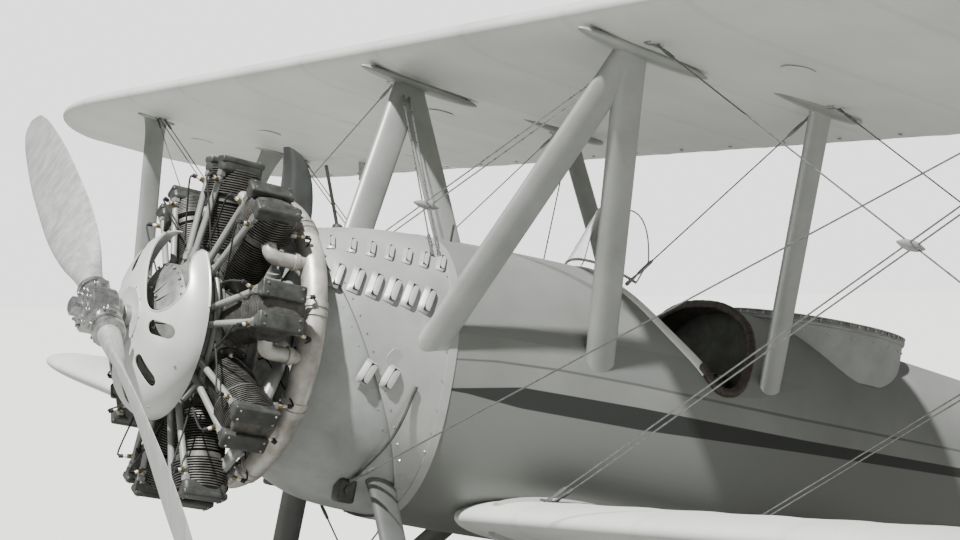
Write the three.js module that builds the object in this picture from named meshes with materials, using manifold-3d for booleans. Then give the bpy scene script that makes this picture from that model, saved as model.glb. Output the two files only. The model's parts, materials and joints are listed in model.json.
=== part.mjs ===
// A two-seat biplane with an open radial engine, standing on its wheels and tail skid.
// It is laid out in flight attitude: X to port, Y aft, Z up, in millimetres, with the propeller's
// hub at zero. The whole aircraft is then pitched nose-up onto its wheels and skid.
import * as THREE from 'three';
import { mergeVertices } from 'three/addons/utils/BufferGeometryUtils.js';
import Module from 'manifold-3d';

const wasm = await Module();
wasm.setup();

// Driving dimensions
const JOINT_GAP = 0.3;
const HINGE_CLEARANCE = 8;
const DEGREE = Math.PI / 180;

const fuselage = {
  noseStart: 600,
  cowlEnd: 1120,
  tailEnd: 6720,
  wall: 22,
  roundness: 2.4,
  sectionPoints: 24,
};
// Sections of the fuselage: place along it, half width, lowest and highest point
const fuselageSections = [
  { y: 600, half: 380, low: -398, high: 385 },
  { y: 700, half: 408, low: -455, high: 432 },
  { y: 850, half: 430, low: -520, high: 470 },
  { y: 1120, half: 442, low: -545, high: 500 },
  { y: 1860, half: 460, low: -556, high: 527 },
  { y: 2600, half: 460, low: -550, high: 505 },
  { y: 3300, half: 438, low: -520, high: 478 },
  { y: 4100, half: 368, low: -440, high: 432 },
  { y: 5100, half: 258, low: -322, high: 368 },
  { y: 6100, half: 138, low: -180, high: 300 },
  { y: 6720, half: 42, low: -70, high: 250 },
];
// The slanting seam between the dark cone behind the engine and the louvred cowl
const coneSeam = { topY: 604, topZ: 372, lowY: 1068, lowZ: -445, step: 10 };

// Two lengths of the fuselage are hollow, each up to the frame at its rear end
const frontBay = { start: 1830, frameFront: 2610, end: 2635 };
const rearBay = { start: 2635, frameFront: 3560, end: 3600 };
const cockpitFloorZ = -400;
// Outline of the front cockpit's edge seen from the side, around the rounded dip at its rear
const frontCockpit = {
  width: 600, top: 800, startY: 1850, startZ: 512, shoulderY: 1940, shoulderZ: 424, bendY: 2052,
  bendZ: 331, sillZ: 144, sillStart: 2270, sillEnd: 2400, sillDepth: 40, riseY: 2478, riseZ: 330,
  endY: 2510,
};
const rearCockpit = {
  y: 3090, radius: 345, wellFrom: 200, wellTo: 900, ringTube: 20, ringRadius: 372, ringZ: 512,
  collarZ: 250, collarHalf: 12,
};
const windscreen = {
  y: 2062, z: 440, radius: 235, wall: 5, sweep: 70 * DEGREE, height: 290, rake: 24 * DEGREE,
};
const instrumentPanel = { front: 1880, rear: 1900, low: 120 };
const seat = {
  frontY: 2330, rearY: 3150, panZ: -240, panHeight: 70, half: 190, backHeight: 470, backLean: 52,
  backThick: 40, armHeight: 220, armThick: 18, legHalfX: 150, legHalfY: 130,
};

const upperWing = {
  leadY: 1171, trailY: 2695, leadZ: 1293, trailZ: 1206, halfSpan: 5250, tipStart: 3850,
  tipSweep: 620,
};
const lowerWing = {
  leadY: 1329, trailY: 2749, leadZ: -470, trailZ: -530, rootX: 120, halfSpan: 5080,
  tipStart: 3800, tipSweep: 560, datumX: 420, dihedral: 4.5 * DEGREE,
};
const wingSection = { thickness: 0.12, camber: 0.025, camberPlace: 0.4, steps: 9 };
const tipSteps = [0.35, 0.6, 0.78, 0.9, 0.97];
const BEHIND_WING = 3000;
const ABOUT_UPPER_WING = [1000, 1600];
const aileron = { innerX: 2500, outerX: 4420, hingeY: 2375, noseRadius: 34 };

const cabane = {
  apex: [785, 1412, 1215],
  frontFoot: [427, 1049, 109],
  rearFoot: [427, 1755, 112],
  backTop: [831, 2251, 1211],
  backFoot: [427, 2559, 180],
  stayFoot: 345,
  chord: 125,
  thickness: 50,
  padLength: 450,
  padWidth: 90,
};
const interplane = {
  x: 3565, frontTopY: 1412, rearTopY: 2251, frontFootY: 1560, rearFootY: 2330, inset: 135,
  chord: 110, thickness: 42,
};

// Radii of the engine are measured from the thrust line
const engine = {
  planeY: 390, cylinders: 9, caseRadius: 255, caseFront: 287, caseRear: 599.5, noseRadius: 120,
  noseFront: 152, coneRadius: 172, coneY: 184, shaftRadius: 42, shaftFront: 68, landRadius: 210,
  landFront: 212, landRear: 262, sides: 27, barrelFoot: 235, barrelRadius: 74, headFoot: 458,
  headTop: 590, headRadius: 94, finDepth: 16, cylinderSides: 10,
};
const rockerBox = { offset: 55, half: 24, low: 562, high: 612, rear: -62, front: 88 };
const pushrod = {
  footOffset: 26, topOffset: 56, foot: 236, top: 580, footFront: 112, topFront: 76, radius: 11,
};
const crankcaseCowl = { rimRadius: 330, rimY: 240, noseRadius: 96, depth: 152, fullness: 2.2, wall: 6 };
// Radial slots between the cylinders, and one large opening open at the rim, in the cowl's front view
const cowlSlot = { inner: 172, outer: 288, half: 24, firstAngle: -7, step: 40, count: 7 };
const cowlOpening = { x: 194, z: 113, half: 84, lean: 31 * DEGREE, length: 330 };
const collector = { y: 555, radius: 475, tube: 44, stubRadius: 26, stubStart: 424, stubTurn: 15 * DEGREE };
const propeller = { radius: 1370, hubRadius: 82, hubFront: -112, hubRear: 56, turn: 122 * DEGREE };

const gear = {
  axleY: 1200, axleZ: -1320, axleRadius: 30, halfTrack: 860, tyreRadius: 380, tyreWidth: 130,
  rimRadius: 262, hubRadius: 60, bore: 34, legTopX: 330, frontTopY: 1010, rearTopY: 1790,
  legTopZ: -440, legChord: 105, legThickness: 46, legFootX: 735,
};
const skid = {
  topY: 6250, topZ: -160, shoeY: 6900, shoeZ: -512, shoeLength: 190, shoeWidth: 90, shoeHeight: 26,
  width: 46,
};

const tail = {
  planeZ: 205, elevatorHingeY: 6600, elevatorNose: 27, rudderHingeY: 6768, rudderNose: 24,
  trailThickness: 8,
};

// How far the nose is pitched up so that both wheels and the skid's shoe meet the ground
const wheelAboveShoe = gear.axleZ - skid.shoeZ;
const shoeBehindWheel = skid.shoeY - gear.axleY;
const parkedPitch = Math.asin(gear.tyreRadius / Math.hypot(wheelAboveShoe, shoeBehindWheel))
  - Math.atan2(wheelAboveShoe, shoeBehindWheel);

// Solids
function flipped(geometry) {
  const index = geometry.index.array;
  for (let face = 0; face < index.length; face += 3) {
    [index[face], index[face + 1]] = [index[face + 1], index[face]];
  }
  return geometry;
}

function signedVolume(geometry) {
  const point = geometry.attributes.position;
  const index = geometry.index.array;
  const corners = [new THREE.Vector3(), new THREE.Vector3(), new THREE.Vector3()];
  let volume = 0;
  for (let face = 0; face < index.length; face += 3) {
    corners.forEach((corner, side) => corner.fromBufferAttribute(point, index[face + side]));
    volume += corners[0].dot(corners[1].clone().cross(corners[2]));
  }
  return volume;
}

// Shared vertices merged and faces turned outwards
function closed(source) {
  const geometry = source.clone();
  geometry.deleteAttribute('normal');
  geometry.deleteAttribute('uv');
  const merged = mergeVertices(geometry, 1e-3);
  return signedVolume(merged) < 0 ? flipped(merged) : merged;
}

function toSolid(source) {
  const geometry = closed(source);
  return new wasm.Manifold(new wasm.Mesh({
    numProp: 3,
    vertProperties: new Float32Array(geometry.attributes.position.array),
    triVerts: new Uint32Array(geometry.index.array),
  }));
}

function toGeometry(solid) {
  const mesh = solid.getMesh();
  const geometry = new THREE.BufferGeometry();
  geometry.setAttribute('position', new THREE.BufferAttribute(new Float32Array(mesh.vertProperties), 3));
  geometry.setIndex(new THREE.BufferAttribute(new Uint32Array(mesh.triVerts), 1));
  return geometry;
}

function joined(pieces) {
  return toGeometry(pieces.map(toSolid).reduce((whole, piece) => whole.add(piece)));
}

function cut(piece, cutters) {
  return toGeometry(cutters.map(toSolid).reduce((whole, cutter) => whole.subtract(cutter), toSolid(piece)));
}

function common(piece, other) {
  return toGeometry(toSolid(piece).intersect(toSolid(other)));
}

function moved(geometry, x, y, z) {
  return geometry.clone().translate(x, y, z);
}

function mirrored(geometry) {
  return closed(geometry.clone().scale(-1, 1, 1));
}

// Flat faces that close a ring of points, seen along the ring's own normal
function capFaces(ring, start) {
  const normal = new THREE.Vector3();
  ring.forEach((point, i) => normal.add(point.clone().cross(ring[(i + 1) % ring.length])));
  const size = [Math.abs(normal.x), Math.abs(normal.y), Math.abs(normal.z)];
  const dropped = size.indexOf(Math.max(...size));
  const flat = ring.map((point) => {
    const kept = point.toArray().filter((value, axis) => axis !== dropped);
    return new THREE.Vector2(kept[0], kept[1]);
  });
  return THREE.ShapeUtils.triangulateShape(flat, []).map((face) => face.map((corner) => corner + start));
}

// A closed body through rings of equally many points
function loft(rings) {
  const count = rings[0].length;
  const last = (rings.length - 1) * count;
  const faces = [];
  for (let ring = 0; ring < rings.length - 1; ring += 1) {
    for (let i = 0; i < count; i += 1) {
      const here = ring * count + i;
      const beside = ring * count + ((i + 1) % count);
      faces.push([here, beside, beside + count], [here, beside + count, here + count]);
    }
  }
  const sameTurn = (face, turn) => (turn ? [face[0], face[2], face[1]] : face);
  const ringTurn = (ring, cap) => {
    const edge = cap.find((face) => face.includes(0) && face.includes(1));
    return (edge.indexOf(1) - edge.indexOf(0) + 3) % 3 === 1;
  };
  const startCap = capFaces(rings[0], 0);
  const endCap = capFaces(rings[rings.length - 1], 0);
  const startTurn = ringTurn(rings[0], startCap);
  const endTurn = ringTurn(rings[rings.length - 1], endCap);
  startCap.forEach((face) => faces.push(sameTurn(face, startTurn)));
  endCap.forEach((face) => faces.push(sameTurn(face.map((corner) => corner + last), !endTurn)));
  const geometry = new THREE.BufferGeometry();
  const points = rings.flat().flatMap((point) => point.toArray());
  geometry.setAttribute('position', new THREE.BufferAttribute(new Float32Array(points), 3));
  geometry.setIndex(faces.flat());
  return closed(geometry);
}

function box(x, y, z) {
  const geometry = new THREE.BoxGeometry(x[1] - x[0], y[1] - y[0], z[1] - z[0]);
  return geometry.translate((x[0] + x[1]) / 2, (y[0] + y[1]) / 2, (z[0] + z[1]) / 2);
}

// A round or polygonal rod between two points
function rod(from, to, radius, sides, endRadius = radius) {
  const start = new THREE.Vector3(...from);
  const end = new THREE.Vector3(...to);
  const axis = end.clone().sub(start);
  const geometry = new THREE.CylinderGeometry(endRadius, radius, axis.length(), sides);
  const upright = new THREE.Vector3(0, 1, 0);
  const turn = new THREE.Quaternion().setFromUnitVectors(upright, axis.clone().normalize());
  return geometry.applyQuaternion(turn).translate(...start.add(end).multiplyScalar(0.5));
}

// An outline drawn in the plane of Y and Z, given its thickness along X
function sidePlate(points, from, to) {
  const shape = new THREE.Shape(points.map(([y, z]) => new THREE.Vector2(y, z)));
  const geometry = new THREE.ExtrudeGeometry(shape, { depth: to - from, bevelEnabled: false });
  const basis = new THREE.Matrix4().makeBasis(
    new THREE.Vector3(0, 1, 0),
    new THREE.Vector3(0, 0, 1),
    new THREE.Vector3(1, 0, 0),
  );
  return geometry.applyMatrix4(basis).translate(from, 0, 0);
}

// A solid of revolution about the thrust line, from pairs of radius and place along Y
function turned(profile, sides) {
  return new THREE.LatheGeometry(profile.map(([radius, y]) => new THREE.Vector2(radius, y)), sides);
}

// Wing and tail surfaces

// Shares of a chord from 0 to 1, close together at the leading edge
function denseAtStart(steps) {
  return Array.from({ length: steps + 1 }, (_, i) => 1 - Math.cos((i / steps) * (Math.PI / 2)));
}

// Points round an aerofoil, from the trailing edge over the top and back underneath
function aerofoilPoints({ thickness, camber, camberPlace, steps }) {
  const half = (s) => 5 * thickness
    * (0.2969 * Math.sqrt(s) - 0.126 * s - 0.3516 * s ** 2 + 0.2843 * s ** 3 - 0.1015 * s ** 4);
  const line = (s) => (s < camberPlace
    ? (camber / camberPlace ** 2) * (2 * camberPlace * s - s ** 2)
    : (camber / (1 - camberPlace) ** 2) * (1 - 2 * camberPlace + 2 * camberPlace * s - s ** 2));
  const places = denseAtStart(steps);
  const over = places.slice().reverse().map((s) => ({ s, h: line(s) + half(s) }));
  const under = places.slice(1).map((s) => ({ s, h: line(s) - half(s) }));
  return over.concat(under);
}

function wingRing(section, { x, lead, trail, leadZ, slope }) {
  const chord = trail - lead;
  const height = ({ s, h }) => leadZ - s * chord * slope + h * chord;
  return section.map((point) => new THREE.Vector3(x, lead + point.s * chord, height(point)));
}

// Stations of a wing whose tip is rounded off between tipStart and halfSpan
function wingStations(wing, heightAt) {
  const slope = (wing.leadZ - wing.trailZ) / (wing.trailY - wing.leadY);
  const tipLength = wing.halfSpan - wing.tipStart;
  const chord = wing.trailY - wing.leadY;
  const station = (x, bend) => {
    const lead = wing.leadY + wing.tipSweep * bend;
    const trail = wing.trailY - (chord - wing.tipSweep) * bend;
    const leadZ = heightAt(x) - (lead - wing.leadY) * slope;
    return { x, lead, trail, leadZ, slope };
  };
  const tips = tipSteps.map((u) => station(wing.tipStart + u * tipLength, 1 - Math.sqrt(1 - u ** 2.4)));
  const end = station(wing.halfSpan, 0.93);
  return { station, outer: [station(wing.tipStart, 0), ...tips, end] };
}

function upperWingBlank() {
  const section = aerofoilPoints(wingSection);
  const { outer } = wingStations(upperWing, () => upperWing.leadZ);
  const port = outer.map((station) => wingRing(section, station));
  const starboard = outer.map((station) => wingRing(section, { ...station, x: -station.x }));
  return loft([...starboard.reverse(), ...port]);
}

function lowerWingBlank() {
  const section = aerofoilPoints(wingSection);
  const heightAt = (x) => lowerWing.leadZ + (x - lowerWing.datumX) * Math.tan(lowerWing.dihedral);
  const { station, outer } = wingStations(lowerWing, heightAt);
  return loft([station(lowerWing.rootX, 0), ...outer].map((row) => wingRing(section, row)));
}

// The aileron's hinge lies at mid thickness of the upper wing
function aileronHingeZ() {
  const slope = (upperWing.leadZ - upperWing.trailZ) / (upperWing.trailY - upperWing.leadY);
  const s = (aileron.hingeY - upperWing.leadY) / (upperWing.trailY - upperWing.leadY);
  const camber = (wingSection.camber / (1 - wingSection.camberPlace) ** 2)
    * (1 - 2 * wingSection.camberPlace + 2 * wingSection.camberPlace * s - s ** 2);
  return upperWing.leadZ - (aileron.hingeY - upperWing.leadY) * slope
    + camber * (upperWing.trailY - upperWing.leadY);
}

function aileronFrom(blank) {
  const hingeZ = aileronHingeZ();
  const spanBox = box([aileron.innerX, aileron.outerX], [aileron.hingeY, BEHIND_WING], ABOUT_UPPER_WING);
  const body = common(blank, spanBox);
  const ends = [aileron.innerX, aileron.outerX];
  const [from, to] = ends.map((x) => [x, aileron.hingeY, hingeZ]);
  const nose = rod(from, to, aileron.noseRadius, 16);
  return joined([body, nose]);
}

function aileronSlot() {
  const front = aileron.hingeY - aileron.noseRadius - HINGE_CLEARANCE;
  const ends = [aileron.innerX - HINGE_CLEARANCE, aileron.outerX + HINGE_CLEARANCE];
  return box(ends, [front, BEHIND_WING], ABOUT_UPPER_WING);
}

// Half-thickness outline of a fixed tail surface: round at its front, flat at the hinge
function fixedSection(steps) {
  const places = denseAtStart(steps);
  const half = (s) => Math.sqrt(s) * (1.3 - 0.3 * s);
  const over = places.slice().reverse().map((s) => ({ s, h: half(s) }));
  return over.concat(places.slice(1).map((s) => ({ s, h: -half(s) })));
}

function fixedRing(section, { at, lead, trail, half }, place) {
  return section.map(({ s, h }) => place(at, lead + s * (trail - lead), h * half));
}

// A hinged surface: round about its hinge, then straight to a thin trailing edge
function hingedRing({ at, trail, nose }, hinge, place) {
  const arc = Array.from({ length: 9 }, (_, i) => Math.PI / 2 + (i / 8) * Math.PI);
  const ring = arc.map((angle) => place(at, hinge + nose * Math.cos(angle), nose * Math.sin(angle)));
  ring.push(place(at, trail, -tail.trailThickness / 2), place(at, trail, tail.trailThickness / 2));
  return ring;
}

const level = (at, y, h) => new THREE.Vector3(at, y, tail.planeZ + h);
const standing = (at, y, h) => new THREE.Vector3(h, y, at);

function tailplaneShape() {
  const trail = tail.elevatorHingeY - tail.elevatorNose - HINGE_CLEARANCE;
  // place across, leading edge, half thickness
  const rows = [
    { at: 0, lead: 5790, half: 27 },
    { at: 1150, lead: 5905, half: 27 },
    { at: 1450, lead: 6010, half: 25 },
    { at: 1660, lead: 6170, half: 21 },
    { at: 1760, lead: 6370, half: 15 },
  ];
  const section = fixedSection(6);
  const half = rows.map((row) => fixedRing(section, { ...row, trail }, level));
  const other = rows.slice(1).map((row) => fixedRing(section, { ...row, at: -row.at, trail }, level));
  return loft([...other.reverse(), ...half]);
}

function elevatorShape() {
  // place across, trailing edge, radius of the nose
  const rows = [
    { at: 105, trail: 6690, nose: 27 },
    { at: 350, trail: 7130, nose: 27 },
    { at: 1200, trail: 7150, nose: 27 },
    { at: 1500, trail: 7080, nose: 25 },
    { at: 1690, trail: 6940, nose: 20 },
    { at: 1770, trail: 6780, nose: 14 },
  ];
  return loft(rows.map((row) => hingedRing(row, tail.elevatorHingeY, level)));
}

function finShape() {
  const trail = tail.rudderHingeY - tail.rudderNose - HINGE_CLEARANCE;
  // height, leading edge, half thickness
  const rows = [
    { at: 200, lead: 5960, half: 24 },
    { at: 420, lead: 6080, half: 24 },
    { at: 700, lead: 6250, half: 23 },
    { at: 900, lead: 6400, half: 20 },
    { at: 1010, lead: 6540, half: 15 },
  ];
  return loft(rows.map((row) => fixedRing(fixedSection(6), { ...row, trail }, standing)));
}

function rudderShape() {
  // height, trailing edge, radius of the nose
  const rows = [
    { at: -60, trail: 7060, nose: 18 },
    { at: 20, trail: 7230, nose: 24 },
    { at: 160, trail: 7320, nose: 24 },
    { at: 380, trail: 7350, nose: 24 },
    { at: 640, trail: 7320, nose: 24 },
    { at: 880, trail: 7220, nose: 23 },
    { at: 1040, trail: 7070, nose: 20 },
    { at: 1110, trail: 6900, nose: 14 },
  ];
  return loft(rows.map((row) => hingedRing(row, tail.rudderHingeY, standing)));
}

// Fuselage
function sectionAt(y) {
  const after = fuselageSections.findIndex((row) => row.y >= y);
  if (fuselageSections[after].y === y) {
    return fuselageSections[after];
  }
  const [a, b] = [fuselageSections[after - 1], fuselageSections[after]];
  const share = (y - a.y) / (b.y - a.y);
  const mix = (key) => a[key] + (b[key] - a[key]) * share;
  return { y, half: mix('half'), low: mix('low'), high: mix('high') };
}

function fuselageRing({ y, half, low, high }, inset) {
  const power = 2 / fuselage.roundness;
  const bend = (value) => Math.sign(value) * Math.abs(value) ** power;
  const middle = (low + high) / 2;
  const tall = (high - low) / 2 - inset;
  return Array.from({ length: fuselage.sectionPoints }, (_, i) => {
    const angle = ((i + 0.5) / fuselage.sectionPoints) * Math.PI * 2;
    const across = (half - inset) * bend(Math.cos(angle));
    return new THREE.Vector3(across, y, middle + tall * bend(Math.sin(angle)));
  });
}

function fuselageStretch(start, end, inset) {
  const between = fuselageSections.filter((row) => row.y > start && row.y < end);
  const rows = [sectionAt(start), ...between, sectionAt(end)];
  return loft(rows.map((row) => fuselageRing(row, inset)));
}

function frontCockpitCutter() {
  const {
    width, top, startY, startZ, shoulderY, shoulderZ, bendY, bendZ, sillZ, sillStart, sillEnd,
    sillDepth, riseY, riseZ, endY,
  } = frontCockpit;
  const bend = (sillEnd - sillStart) / 2;
  const middle = (sillStart + sillEnd) / 2;
  const dip = Array.from({ length: 7 }, (_, i) => {
    const angle = Math.PI + (i / 6) * Math.PI;
    return [middle + bend * Math.cos(angle), sillZ + sillDepth + sillDepth * Math.sin(angle)];
  });
  const front = [[startY, top], [startY, startZ], [shoulderY, shoulderZ], [bendY, bendZ]];
  return sidePlate([...front, ...dip, [riseY, riseZ], [endY, shoulderZ], [endY, top]], -width, width);
}

// A hollow length: floor, two sides and deck, open at its front and closed by a frame at its rear
function fuselageBay({ start, frameFront, end }, cutters) {
  const shell = fuselageStretch(start, end - JOINT_GAP, 0);
  const { width, top } = frontCockpit;
  const hollow = common(
    fuselageStretch(start - 1, frameFront, fuselage.wall),
    box([-width, width], [start - 2, frameFront + 1], [cockpitFloorZ, top]),
  );
  return cut(shell, [hollow, ...cutters]);
}

function rearCockpitWell() {
  const { y, radius, wellFrom, wellTo } = rearCockpit;
  return rod([0, y, wellFrom], [0, y, wellTo], radius, 32);
}

function fuselageTail() {
  return cut(fuselageStretch(rearBay.end, fuselage.tailEnd, 0), [tailplaneGrown()]);
}

// The tailplane passes through the fuselage and the fin in a slot of its own shape
function tailplaneGrown() {
  const middleY = 6300;
  const grown = tailplaneShape().translate(0, -middleY, -tail.planeZ).scale(1, 1.002, 1.02);
  return grown.translate(0, middleY, tail.planeZ);
}

function coneSide(shift) {
  const { topY, topZ, lowY, lowZ } = coneSeam;
  const slope = (lowY - topY) / (lowZ - topZ);
  const at = (z) => topY + (z - topZ) * slope + shift;
  return sidePlate([[at(700), 700], [at(-800), -800], [-200, -800], [-200, 700]], -700, 700);
}

function cowlShape() {
  return cut(fuselageStretch(fuselage.noseStart, fuselage.cowlEnd - JOINT_GAP, 0), [coneSide(0)]);
}

function coneShape() {
  const cone = fuselageStretch(fuselage.noseStart, fuselage.cowlEnd - JOINT_GAP, coneSeam.step);
  return common(cone, coneSide(-JOINT_GAP));
}

// Struts

// A teardrop section carried along a straight line, its chord turned into the airflow
function strut(from, to, chord, thickness, extend = 0) {
  const start = new THREE.Vector3(...from);
  const end = new THREE.Vector3(...to);
  const along = end.clone().sub(start).normalize();
  start.addScaledVector(along, -extend);
  end.addScaledVector(along, extend);
  const flow = new THREE.Vector3(0, 1, 0).addScaledVector(along, -along.y).normalize();
  const side = along.clone().cross(flow);
  const outline = Array.from({ length: 12 }, (_, i) => {
    const angle = ((i + 0.5) / 12) * Math.PI * 2;
    const back = (Math.cos(angle) + 1) / 2;
    return { c: (Math.cos(angle) * chord) / 2, t: (Math.sin(angle) * thickness * (1.1 - 0.5 * back)) / 2 };
  });
  const ring = (origin) => outline.map(({ c, t }) => origin.clone()
    .addScaledVector(flow, c).addScaledVector(side, t));
  return loft([ring(start), ring(end)]);
}

function pad([x, y, z]) {
  const shape = new THREE.SphereGeometry(0.5, 10, 6);
  return shape.scale(cabane.padWidth, cabane.padLength, 44).translate(x, y, z);
}

function cabaneVee(body, wing) {
  const legs = [cabane.frontFoot, cabane.rearFoot]
    .map((foot) => strut(foot, cabane.apex, cabane.chord, cabane.thickness, 40));
  const whole = joined([...legs, pad(cabane.apex)]);
  return cut(whole, [body, moved(wing, 0, 0, -JOINT_GAP)]);
}

function cabaneBack(body, wing) {
  const leg = strut(cabane.backFoot, cabane.backTop, cabane.chord * 0.8, cabane.thickness * 0.8, 40);
  const whole = joined([leg, pad(cabane.backTop)]);
  return cut(whole, [body, moved(wing, 0, 0, -JOINT_GAP)]);
}

function interplaneStrut(topY, footY, upper, lower) {
  const { x, chord, thickness } = interplane;
  const whole = strut([x, footY, -220], [x, topY, 1230], chord, thickness, 20);
  return cut(whole, [moved(upper, 0, 0, -JOINT_GAP), moved(lower, 0, 0, JOINT_GAP)]);
}

// Engine

// A finned barrel and head, drawn from the crankshaft outwards
function cylinderProfile() {
  const { barrelFoot, barrelRadius, headFoot, headTop, headRadius, finDepth } = engine;
  const profile = [[0, barrelFoot], [barrelRadius, barrelFoot], [barrelRadius, 285]];
  // first fin, number of fins, spacing, radius at the fins' tips
  const groups = [
    { first: 300, count: 3, pitch: 52, radius: barrelRadius },
    { first: headFoot, count: 2, pitch: 62, radius: headRadius },
  ];
  groups.forEach(({ first, count, pitch, radius }) => {
    for (let fin = 0; fin < count; fin += 1) {
      const foot = first + fin * pitch;
      profile.push([radius - finDepth, foot], [radius, foot], [radius, foot + pitch * 0.45]);
      profile.push([radius - finDepth, foot + pitch * 0.45]);
    }
  });
  profile.push([headRadius - 30, headTop], [0, headTop]);
  return profile;
}

function engineCylinder() {
  const barrel = turned(cylinderProfile(), engine.cylinderSides);
  const sides = [-1, 1];
  // In the cylinder's own frame Y runs outwards and Z to the front
  const rockers = sides.map((side) => {
    const { offset, half, low, high, rear, front } = rockerBox;
    return box([side * offset - half, side * offset + half], [low, high], [rear, front]);
  });
  const rods = sides.map((side) => {
    const { footOffset, topOffset, foot, top, footFront, topFront, radius } = pushrod;
    return rod([side * footOffset, foot, footFront], [side * topOffset, top, topFront], radius, 5);
  });
  return joined([barrel, ...rockers, ...rods]);
}

function engineShape() {
  const {
    planeY, cylinders, caseRadius, caseFront, caseRear, noseRadius, noseFront, coneRadius, coneY,
    shaftRadius, shaftFront, landRadius, landFront, landRear, sides,
  } = engine;
  const crankcase = turned([
    [0, shaftFront], [shaftRadius, shaftFront], [shaftRadius, noseFront], [noseRadius, noseFront],
    [coneRadius, coneY], [landRadius, landFront], [landRadius, landRear], [caseRadius, caseFront],
    [caseRadius, caseRear], [0, caseRear],
  ], sides);
  const cylinder = engineCylinder();
  const pieces = Array.from({ length: cylinders }, (_, i) => {
    const angle = (i / cylinders) * Math.PI * 2;
    const outward = new THREE.Vector3(Math.sin(angle), 0, Math.cos(angle));
    const forward = new THREE.Vector3(0, -1, 0);
    const across = outward.clone().cross(forward);
    const place = new THREE.Matrix4().makeBasis(across, outward, forward).setPosition(0, planeY, 0);
    return cylinder.clone().applyMatrix4(place);
  });
  return joined([crankcase, ...pieces]);
}

// A thin dome around the crankcase's nose, carried by a flange on the crankcase
function crankcaseCowlShape() {
  const { rimRadius, rimY, noseRadius, depth, fullness, wall } = crankcaseCowl;
  const steps = 6;
  const arc = Array.from({ length: steps + 1 }, (_, i) => {
    const radius = noseRadius + (rimRadius - noseRadius) * Math.sin((i / steps) * (Math.PI / 2));
    return [radius, rimY - depth * (1 - (radius / rimRadius) ** fullness) ** (1 / fullness)];
  });
  const inside = arc.slice(0, steps).reverse().map(([radius, y]) => [radius - wall, y + wall]);
  const flangeRadius = engine.landRadius + JOINT_GAP;
  const flange = [[rimRadius, rimY + wall], [flangeRadius, rimY + wall], [flangeRadius, rimY - wall]];
  const shell = turned([...arc, ...flange, ...inside, arc[0]], engine.sides);
  return cut(shell, [...slotCutters(), openingCutter()]);
}

// A cutter with round ends, drawn along Z from zero in the front view and running from Y = -200 aft
function roundEnded(half, length, depth) {
  const shape = new THREE.Shape();
  shape.absarc(0, 0, half, Math.PI, 0, false);
  shape.absarc(0, length, half, 0, Math.PI, false);
  const geometry = new THREE.ExtrudeGeometry(shape, { depth, bevelEnabled: false, curveSegments: 6 });
  return geometry.rotateX(Math.PI / 2).scale(1, 1, -1).translate(0, depth - 200, 0);
}

function slotCutters() {
  const { inner, outer, half, firstAngle, step, count } = cowlSlot;
  const slot = roundEnded(half, outer - inner - 2 * half, 200 + crankcaseCowl.rimY - crankcaseCowl.wall);
  return Array.from({ length: count }, (_, i) => {
    const angle = 90 - (firstAngle - i * step);
    return moved(slot, 0, 0, inner + half).rotateY(angle * DEGREE);
  });
}

function openingCutter() {
  const { x, z, half, lean, length } = cowlOpening;
  const depth = 200 + crankcaseCowl.rimY - crankcaseCowl.wall;
  return roundEnded(half, length, depth).rotateY(-lean).translate(x, 0, z);
}

// The ring behind the cylinders, with one pipe coming aft from the side of each head
function collectorShape() {
  const { y, radius, tube, stubRadius, stubStart, stubTurn } = collector;
  const ring = new THREE.TorusGeometry(radius, tube, 8, 36).rotateX(Math.PI / 2).translate(0, y, 0);
  const stubs = Array.from({ length: engine.cylinders }, (_, i) => {
    const angle = (i / engine.cylinders) * Math.PI * 2 + stubTurn;
    const [across, up] = [radius * Math.sin(angle), radius * Math.cos(angle)];
    return rod([across, stubStart, up], [across, y, up], stubRadius, 8);
  });
  return joined([ring, ...stubs]);
}

function propellerShape() {
  // distance from the hub, width, thickness, pitch in degrees
  const rows = [
    { r: 40, width: 84, thick: 76, pitch: 58 },
    { r: 190, width: 92, thick: 62, pitch: 50 },
    { r: 330, width: 150, thick: 38, pitch: 41 },
    { r: 560, width: 205, thick: 24, pitch: 31 },
    { r: 860, width: 212, thick: 17, pitch: 24 },
    { r: 1150, width: 178, thick: 11, pitch: 19 },
    { r: 1300, width: 128, thick: 8, pitch: 17 },
    { r: propeller.radius, width: 46, thick: 5, pitch: 16 },
  ];
  const blade = loft(rows.map(({ r, width, thick, pitch }) => Array.from({ length: 10 }, (_, i) => {
    const angle = (i / 10) * Math.PI * 2;
    const across = (Math.cos(angle) * width) / 2;
    const through = (Math.sin(angle) * thick) / 2;
    const [c, s] = [Math.cos(pitch * DEGREE), Math.sin(pitch * DEGREE)];
    return new THREE.Vector3(across * c - through * s, across * s + through * c, r);
  })));
  const { hubRadius, hubFront, hubRear, turn } = propeller;
  const hub = turned([
    [0, hubFront], [34, hubFront], [40, -74], [hubRadius, -62], [hubRadius, 34], [58, hubRear],
    [0, hubRear],
  ], 24);
  const other = blade.clone().rotateY(Math.PI);
  return joined([hub, blade, other]).rotateY(turn);
}

// Landing gear
function legShape(body, wing) {
  const { axleY, axleZ, legTopX, frontTopY, rearTopY, legTopZ, legChord, legThickness, legFootX } = gear;
  const foot = [legFootX, axleY, axleZ];
  const tops = [frontTopY, rearTopY].map((y) => [legTopX, y, legTopZ]);
  const legs = tops.map((top) => strut(foot, top, legChord, legThickness, 60));
  const boss = rod([legFootX - 60, axleY, axleZ], [legFootX + 24, axleY, axleZ], 62, 16);
  const bore = rod([0, axleY, axleZ], [1200, axleY, axleZ], gear.axleRadius + JOINT_GAP, 16);
  return cut(joined([...legs, boss]), [body, moved(wing, 0, 0, -JOINT_GAP), bore]);
}

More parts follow.
